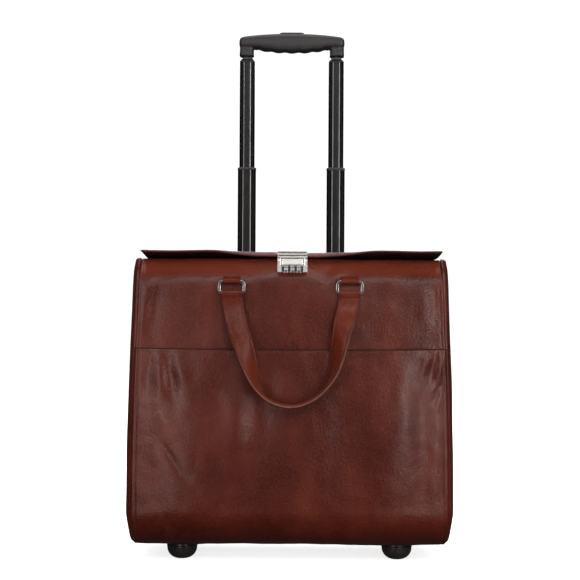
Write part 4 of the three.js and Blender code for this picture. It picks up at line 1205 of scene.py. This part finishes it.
def trolley_tubes():
    """Both sides' nested tubes, with a collar on the first stage, and the parts that run inside."""
    wall = 0.00125
    for side, hand in HANDS:
        x = side * TUBE_X
        for stage, body, corner in (("outer_tube", "case", 0.005), ("stage_a_tube", "stage_a", 0.005),
                                    ("stage_b_tube", "stage_b", 0.0046)):
            node = f"{stage}_{hand}"
            low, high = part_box(node)
            width, depth = high.x - low.x, high.y - low.y
            levels = [(low.z, 0.0003), (low.z + 0.0004, 0.0), (high.z - 0.0004, 0.0), (high.z, 0.0003)]
            tube = hollow(f"tube_{node}", x, levels, tube_ring(width, depth, corner),
                          rounded(width - 2 * wall, depth - 2 * wall, corner - wall, 8), TUBE)
            tube.data.materials.append(TUBE_SIDE_PAINTED_SHADE)
            tube.data.materials.append(TUBE_EDGE_PAINTED_GLINT)
            for polygon in tube.data.polygons:
                off, out = abs(polygon.center.x - x), abs(polygon.center.y - TUBE_Y)
                # Painted shade: faces off the band take the near-black flank finish.
                if off > BAND_SHARE * width + 0.0006:
                    polygon.material_index = 1
                # Painted glint: the steps at the band's edges take the light grey metal.
                elif off > BAND_SHARE * width - 0.0003 and out > depth / 2 - 0.0010:
                    polygon.material_index = 2
            put(tube, body, node, slot="black_tube")
        low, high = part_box(f"stage_a_bush_{hand}")
        levels = [(low.z - 0.0002, 0.0002), (low.z + 0.0004, 0), (high.z - 0.0010, 0), (high.z - 0.0003, 0.0005),
                  (high.z, 0.0012)]
        cap = hollow(f"collar_{hand}", x, levels, rounded(high.x - low.x + 0.0006, high.y - low.y + 0.0006, 0.0052, 8),
                     rounded(0.0230, 0.0132, 0.0048, 8), PLASTIC)
        put(cap, "stage_a", f"stage_a_bush_{hand}", slot="black_plastic")
        keep(PLASTIC, "black_plastic", f"grip_stem_{hand}", bevel=0.0003)
        keep(STEEL, "steel", f"lock_pin_{hand}", f"release_rod_{hand}", bevel=0.0002)
    keep(STEEL, "steel", "release_bar", bevel=0.0005)
    keep(PLASTIC, "black_plastic", "trolley_base", bevel=0.0012)


def trolley_top():
    """The band that closes the trolley's well: leather over a board, with a plastic collar per tube."""
    low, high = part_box("trolley_bezel")
    xx, yy = np.meshgrid(np.linspace(low.x, high.x, 161), np.linspace(low.y, high.y, 41))
    d = np.minimum(np.minimum(xx - low.x, high.x - xx), np.minimum(yy - low.y, high.y - yy))
    z = high.z - 0.0004 - 0.0016 * clamp01(1 - d / 0.004) ** 2 + seam_groove(d, 0.005, 0.0005)
    z += 0.0004 * smooth_noise(xx, yy, 0.05, 15.0)
    band = shell("trolley_band", np.stack([xx, yy, np.minimum(z, high.z + 0.0002)], -1), 0.0030, BODY)
    path = rounded(0.0302, 0.0202, 0.0062, 10)
    levels = [(high.z - 0.0006, 0.0), (high.z + 0.0008, 0.0), (high.z + 0.0014, 0.0003), (high.z + 0.0018, 0.0012)]
    for side, hand in HANDS:
        x = side * TUBE_X
        carve(band, sweep("cutter", [[(x + a, TUBE_Y + b, z) for a, b in path] for z in (0.39, 0.41)], BODY))
        put(hollow(f"tube_collar_{hand}", x, levels, rounded(0.0352, 0.0250, 0.0078, 10),
                   rounded(0.0274, 0.0174, 0.0054, 10), PLASTIC), "case", slot="black_plastic")
    put(band, "case", "trolley_bezel", slot="body_leather")
    seam, clear = 0.005, 0.0190  # from the edge, and from a tube's middle
    left, right, front, back = low.x + seam, high.x - seam, low.y + seam, high.y - seam
    spans = (left, -TUBE_X - clear), (clear - TUBE_X, TUBE_X - clear), (TUBE_X + clear, right)
    lines = [[(a, y) for a in np.linspace(*span, 20)] for y in (front, back) for span in spans]
    lines += [[(x, b) for b in np.linspace(front, back, 12)] for x in (left, right)]
    stitches("trolley_stitches", [[((a, b, high.z - 0.0004), (0, 0, 1)) for a, b in line] for line in lines], "case")


def grip():
    """The moulded grip with finger grooves, its two legs and the wells for what goes through it."""
    low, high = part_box("grip")
    half, depth, mid_y = (high.x - low.x) / 2, (high.y - low.y) / 2, (low.y + high.y) / 2
    leg_x, tip_length = 0.0663, 0.010
    round_y, round_z = bulged(np.cos(turns(40)), 0.62), bulged(np.sin(turns(40)), 0.62)
    ends = tip_length * (1 - (1 - np.linspace(0, 1, 14)) ** 2)
    places = np.concatenate([-half + ends[:-1], np.linspace(-half + tip_length, half - tip_length, 90),
                             half - ends[-2::-1]])
    sections = []
    for x in places:
        tip = clamp01((abs(x) - (half - tip_length)) / tip_length)
        shrink = math.sqrt(max(0.0, 1 - tip**2.6))
        top = high.z - 0.0056 * (abs(x) / half) ** 2
        groove = 0.0015 * (1 - abs(math.cos(math.pi * x / 0.020)) ** 1.6) if abs(x) < 0.050 else 0.0
        under = 0.7194 + groove + 0.0058 * min(1.0, abs(x) / 0.055) ** 2.5
        tall, deep = (top - under) / 2 * (0.45 + 0.55 * shrink), depth * (0.50 + 0.50 * shrink)
        sections.append(np.stack([np.full(40, x), mid_y + deep * round_y, (top + under) / 2 + tall * round_z], 1))
    parts = [sweep("grip_body", sections, GRIP)]
    levels = [(0.7137, 0.0006), (0.7143, 0.0), (0.7180, 0.0001), (0.7230, 0.0003), (0.7300, 0.0001), (0.7405, 0.0004)]
    for side, _ in HANDS:
        rings = [[(side * leg_x + a * (1 - by / 0.0105), mid_y + b * (1 - by / 0.0105), z)
                  for a, b in rounded(0.0214, 0.0214, 0.0062, 8)] for z, by in levels]
        parts.append(sweep("leg", rings, GRIP))
    body = join("grip_body", parts)
    blend = body.modifiers.new("blend", "REMESH")
    blend.mode, blend.voxel_size = "VOXEL", 0.0008
    soften = body.modifiers.new("soften", "SMOOTH")
    soften.factor, soften.iterations = 0.5, 8
    apply_modifiers(body)

    def well(x, y, half_x, half_y, z_low, z_high, bevel, segments=3):
        return block("w", (x - half_x, mid_y + y - half_y, z_low), (x + half_x, mid_y + y + half_y, z_high),
                     bevel, GRIP, segments)

    wells = [well(0, 0, 0.0187, 0.0067, 0.7290, 0.7600, 0.0040, 5), well(0, 0, 0.0695, 0.0040, 0.7270, 0.7376, 0.0002)]
    for side, _ in HANDS:
        wells.append(sweep("w", [[(side * TUBE_X + 0.0026 * math.cos(a), mid_y + 0.0026 * math.sin(a), z)
                                  for a in turns(16)] for z in (0.700, 0.730)], GRIP))
        for facing in (-1, 1):
            wells.append(well(side * leg_x, facing * 0.0116, 0.0019, 0.0020, 0.7186, 0.7222, 0.0003))
            wells.append(well(side * 0.0549, facing * 0.0150, 0.0005, 0.0027, 0.7100, 0.7600, 0.0001))
    carve(body, *wells)
    put(sharpen(body, 50), "stage_b", "grip", slot="grip_plastic")
    low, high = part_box("release_button")
    middle = (low.x + high.x) / 2
    levels = [(low.z, 0.0), (high.z - 0.0022, 0.0), (high.z - 0.0010, 0.0004), (high.z - 0.0003, 0.0014),
              (high.z, 0.0030), (high.z + 0.0001, 0.0048)]
    rings = [[(middle + a * (1 - by / 0.018), mid_y + b * (1 - by / 0.006), z)
              for a, b in rounded(high.x - low.x, high.y - low.y, 0.0045, 8)] for z, by in levels]
    put(sharpen(sweep("thumb_button", rings, PLASTIC), 35), "release", "release_button", slot="black_plastic")


# ---- Wheels and feet ----


def mirrored(half, outline, across=()):
    """A profile of (radius, in from the side) pairs up one side, across and down the other."""
    return [(a, b - half) for a, b in outline] + list(across) + [(a, half - b) for a, b in outline[::-1]]


def wheels_and_feet():
    """Grooved tyres on spoked hubs, and a domed glide on each side under the front."""
    for _, hand in HANDS:
        low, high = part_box(f"tyre_{hand}")
        centre = tuple((low + high) / 2)
        radius, half = (high.z - low.z) / 2, (high.x - low.x) / 2
        treads = [(radius - dip, place + off) for place in (-0.0055, 0.0, 0.0055)
                  for dip, off in ((0.0001, -0.0010), (0.0012, -0.0005), (0.0012, 0.0005), (0.0001, 0.0010))]
        tyre = mirrored(half, [(0.0184, 0.0010), (0.0200, 0.0002), (0.0222, 0.0), (0.0236, 0.0007), (0.0243, 0.0022),
                               (0.0246, half - 0.0067)], treads)
        put(lathe(f"tyre_body_{hand}", tyre, centre, "X", RUBBER, 96), f"wheel_{hand}", f"tyre_{hand}",
            slot="tyre_rubber")
        r = 0.0181
        rim = mirrored(half, [(0.0034, 0.0), (0.0066, 0.0), (0.0070, 0.0004), (0.0078, 0.0046), (r - 0.0030, 0.0040),
                              (r - 0.0022, 0.0012), (r - 0.0008, 0.0008), (r, 0.0015)])
        spokes = [lathe("hub_rim", rim, centre, "X", PLASTIC, 72)]
        for k in range(6):
            for s in (-1, 1):
                spoke = block("spoke", (-0.0014, 0.0062, -0.0012), (0.0014, 0.0156, 0.0012), 0.0004, PLASTIC)
                spoke.data.transform(Matrix.Translation((centre[0] + s * (half - 0.0036), centre[1], centre[2]))
                                     @ Matrix.Rotation(2 * math.pi * k / 6, 4, "X")
                                     @ Matrix.Rotation(math.pi / 2, 4, "Y"))
                spokes.append(spoke)
        put(join(f"hub_body_{hand}", spokes), f"wheel_{hand}", f"hub_{hand}", slot="black_plastic")
        keep(PLASTIC, "black_plastic", f"wheel_housing_{hand}", bevel=0.0012)
        keep(STEEL, "steel", f"axle_{hand}", bevel=0.0004)
        low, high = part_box(f"foot_{hand}")
        reach = (high.x - low.x) / 2
        profile = [(0.0, 0.0004), (0.0038, 0.0002), (0.0050, 0.0)]
        profile += [(0.0050 + (reach - 0.0056) * math.sin(a), 0.0150 * (1 - math.cos(a)))
                    for a in np.linspace(0.12, math.pi / 2, 22)]
        profile += [(reach - 0.0002, 0.0165), (reach - 0.0002, 0.0186), (reach - 0.0012, 0.0192),
                    (reach - 0.0022, 0.0196), (reach - 0.0022, 0.0214), (reach - 0.0003, 0.0218), (reach, 0.0228),
                    (reach, high.z), (0.0, high.z)]
        middle = ((low.x + high.x) / 2, (low.y + high.y) / 2, 0.0)
        put(lathe(f"glide_{hand}", profile, middle, "Z", GLIDE, 80), "case", f"foot_{hand}", slot="black_plastic")


# ---- Board pieces ----


def boards():
    low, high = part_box("inner_back_wall")
    zz, uu = np.meshgrid(np.linspace(low.z, high.z, 60), np.linspace(-1, 1, 80), indexing="ij")
    x = uu * (half_width(np.minimum(zz, SHOULDER_Z)) - 0.0034)
    y = low.y + 0.0002 + 0.0002 * smooth_noise(x, zz, 0.08, 18.0)
    put(shell("well_wall", np.stack([x, y, zz], -1), 0.0021, LINING), "case", "inner_back_wall", slot="board")
    keep(LINING, "board", "front_edge_bar", bevel=0.0008)


# ---- Build ----

front_panel()
front_pocket()
for side, hand in HANDS:
    gusset(side, hand)
back_panel()
base_panel()
boards()
inside()
divider()
laptop_strap()
lid()
lid_hinge()
lock()
rings_and_straps()
trolley_tubes()
trolley_top()
grip()
wheels_and_feet()

# ---- Floor, light and camera ----


WARM = (1.0, 0.85, 0.80)


def softbox(name, place, aim, width, height, power, color=(1, 1, 1)):
    data = bpy.data.lights.new(name, "AREA")
    data.shape, data.size, data.size_y, data.energy, data.color = "RECTANGLE", width, height, power, color
    obj = bpy.data.objects.new(name, data)
    obj.location = place
    obj.rotation_euler = (Vector(aim) - Vector(place)).to_track_quat("-Z", "Y").to_euler()
    bpy.context.scene.collection.objects.link(obj)
    return obj


def studio():
    points = [(-40, -6, 0), (40, -6, 0), (40, 80, 0), (-40, 80, 0)]
    n = Nodes("floor")
    shade = n.mix(n.remap(n.noise(1.5, 3), 0.3, 0.7), (0.86, 0.86, 0.86), (0.90, 0.90, 0.90))
    # The floor glows though it is no lamp: painted light, weaker near the case and stronger farther off, so the far
    # floor reads white.
    n.shader.inputs["Emission Color"].default_value = (1, 1, 1, 1)
    distance = n.new("ShaderNodeVectorMath", operation="LENGTH")
    n.link(n.coordinates, distance.inputs[0])
    n.link(n.remap(distance.outputs["Value"], 0.25, 1.1, 0.80, 1.1), n.shader.inputs["Emission Strength"])
    floor = mesh_object("floor", points, [(0, 1, 2, 3)], n.finish(shade, 0.75), smooth=False)
    floor.visible_diffuse = floor.visible_glossy = False
    world = bpy.data.worlds.new("studio")
    bpy.context.scene.world = world
    world.use_nodes = True
    tree = world.node_tree
    background = tree.nodes["Background"]
    background.inputs["Color"].default_value = (0.80, 0.80, 0.80, 1)
    background.inputs["Strength"].default_value = 0.05
    bright = tree.nodes.new("ShaderNodeBackground")
    bright.inputs["Color"].default_value = (1, 1, 1, 1)
    bright.inputs["Strength"].default_value = 1.1
    path = tree.nodes.new("ShaderNodeLightPath")
    blend = tree.nodes.new("ShaderNodeMixShader")
    tree.links.new(path.outputs["Is Camera Ray"], blend.inputs["Fac"])
    tree.links.new(background.outputs["Background"], blend.inputs[1])
    tree.links.new(bright.outputs["Background"], blend.inputs[2])
    tree.links.new(blend.outputs["Shader"], tree.nodes["World Output"].inputs["Surface"])
    # Each light's name, place, aim, width, height, power and, where it is not white, colour.
    for light in (("left_box", (-1.35, -1.35, 0.95), (0, 0, 0.32), 0.6, 1.5, 9),
                  ("right_box", (1.45, -1.20, 0.80), (0, 0, 0.30), 0.6, 1.5, 13),
                  ("left_strip", (-0.90, -1.75, 0.48), (0, 0, 0.22), 0.22, 0.9, 5.3, WARM),
                  ("right_strip", (0.80, -1.79, 0.36), (0, 0, 0.20), 0.24, 0.66, 6.4, WARM),
                  ("front_box", (0.15, -1.65, 1.15), (0, 0, 0.40), 1.4, 0.35, 7.8),
                  ("top_box", (0, -0.2, 2.2), (0, 0, 0.2), 1.6, 1.2, 21),
                  ("back_box", (0, 2.0, 1.6), (0, 0, 0.3), 2.2, 1.2, 48)):
        softbox(*light)
    for name, x, aim_x, power in (("left_glow", -0.34, -0.16, 1.1), ("right_glow", 0.36, 0.17, 0.9)):
        glow = softbox(name, (x, -0.78, 0.03), (aim_x, -0.1, 0.16), 0.26, 0.5, power, WARM)
        glow.visible_diffuse = False
    cards = [softbox("metal_card", (0.15, -1.9, 0.75), (0, 0, 0.36), 1.5, 1.0, 2.7),
             softbox("metal_card_left", (-1.3, -1.0, 0.5), (0, 0, 0.36), 1.0, 1.4, 13),
             softbox("metal_card_right", (1.3, -1.0, 0.5), (0, 0, 0.36), 1.0, 1.4, 13)]
    metals = bpy.data.collections.new("metals")
    for obj in bpy.context.scene.objects:
        if obj.type == "MESH" and any(m in (NICKEL, NICKEL_PLATE, STEEL) for m in obj.data.materials):
            metals.objects.link(obj)
    for card in cards:
        card.light_linking.receiver_collection = metals


def camera():
    data = bpy.data.cameras.new("camera")
    data.lens, data.sensor_width = 72.7, 36
    data.clip_start = 0.05
    obj = bpy.data.objects.new("camera", data)
    obj.location = (-0.001, -1.647, 0.370)
    obj.rotation_euler = (math.pi / 2, math.radians(-0.3), 0)
    bpy.context.scene.collection.objects.link(obj)
    bpy.context.scene.camera = obj
    bpy.context.scene.view_settings.view_transform = "Standard"


studio()
camera()
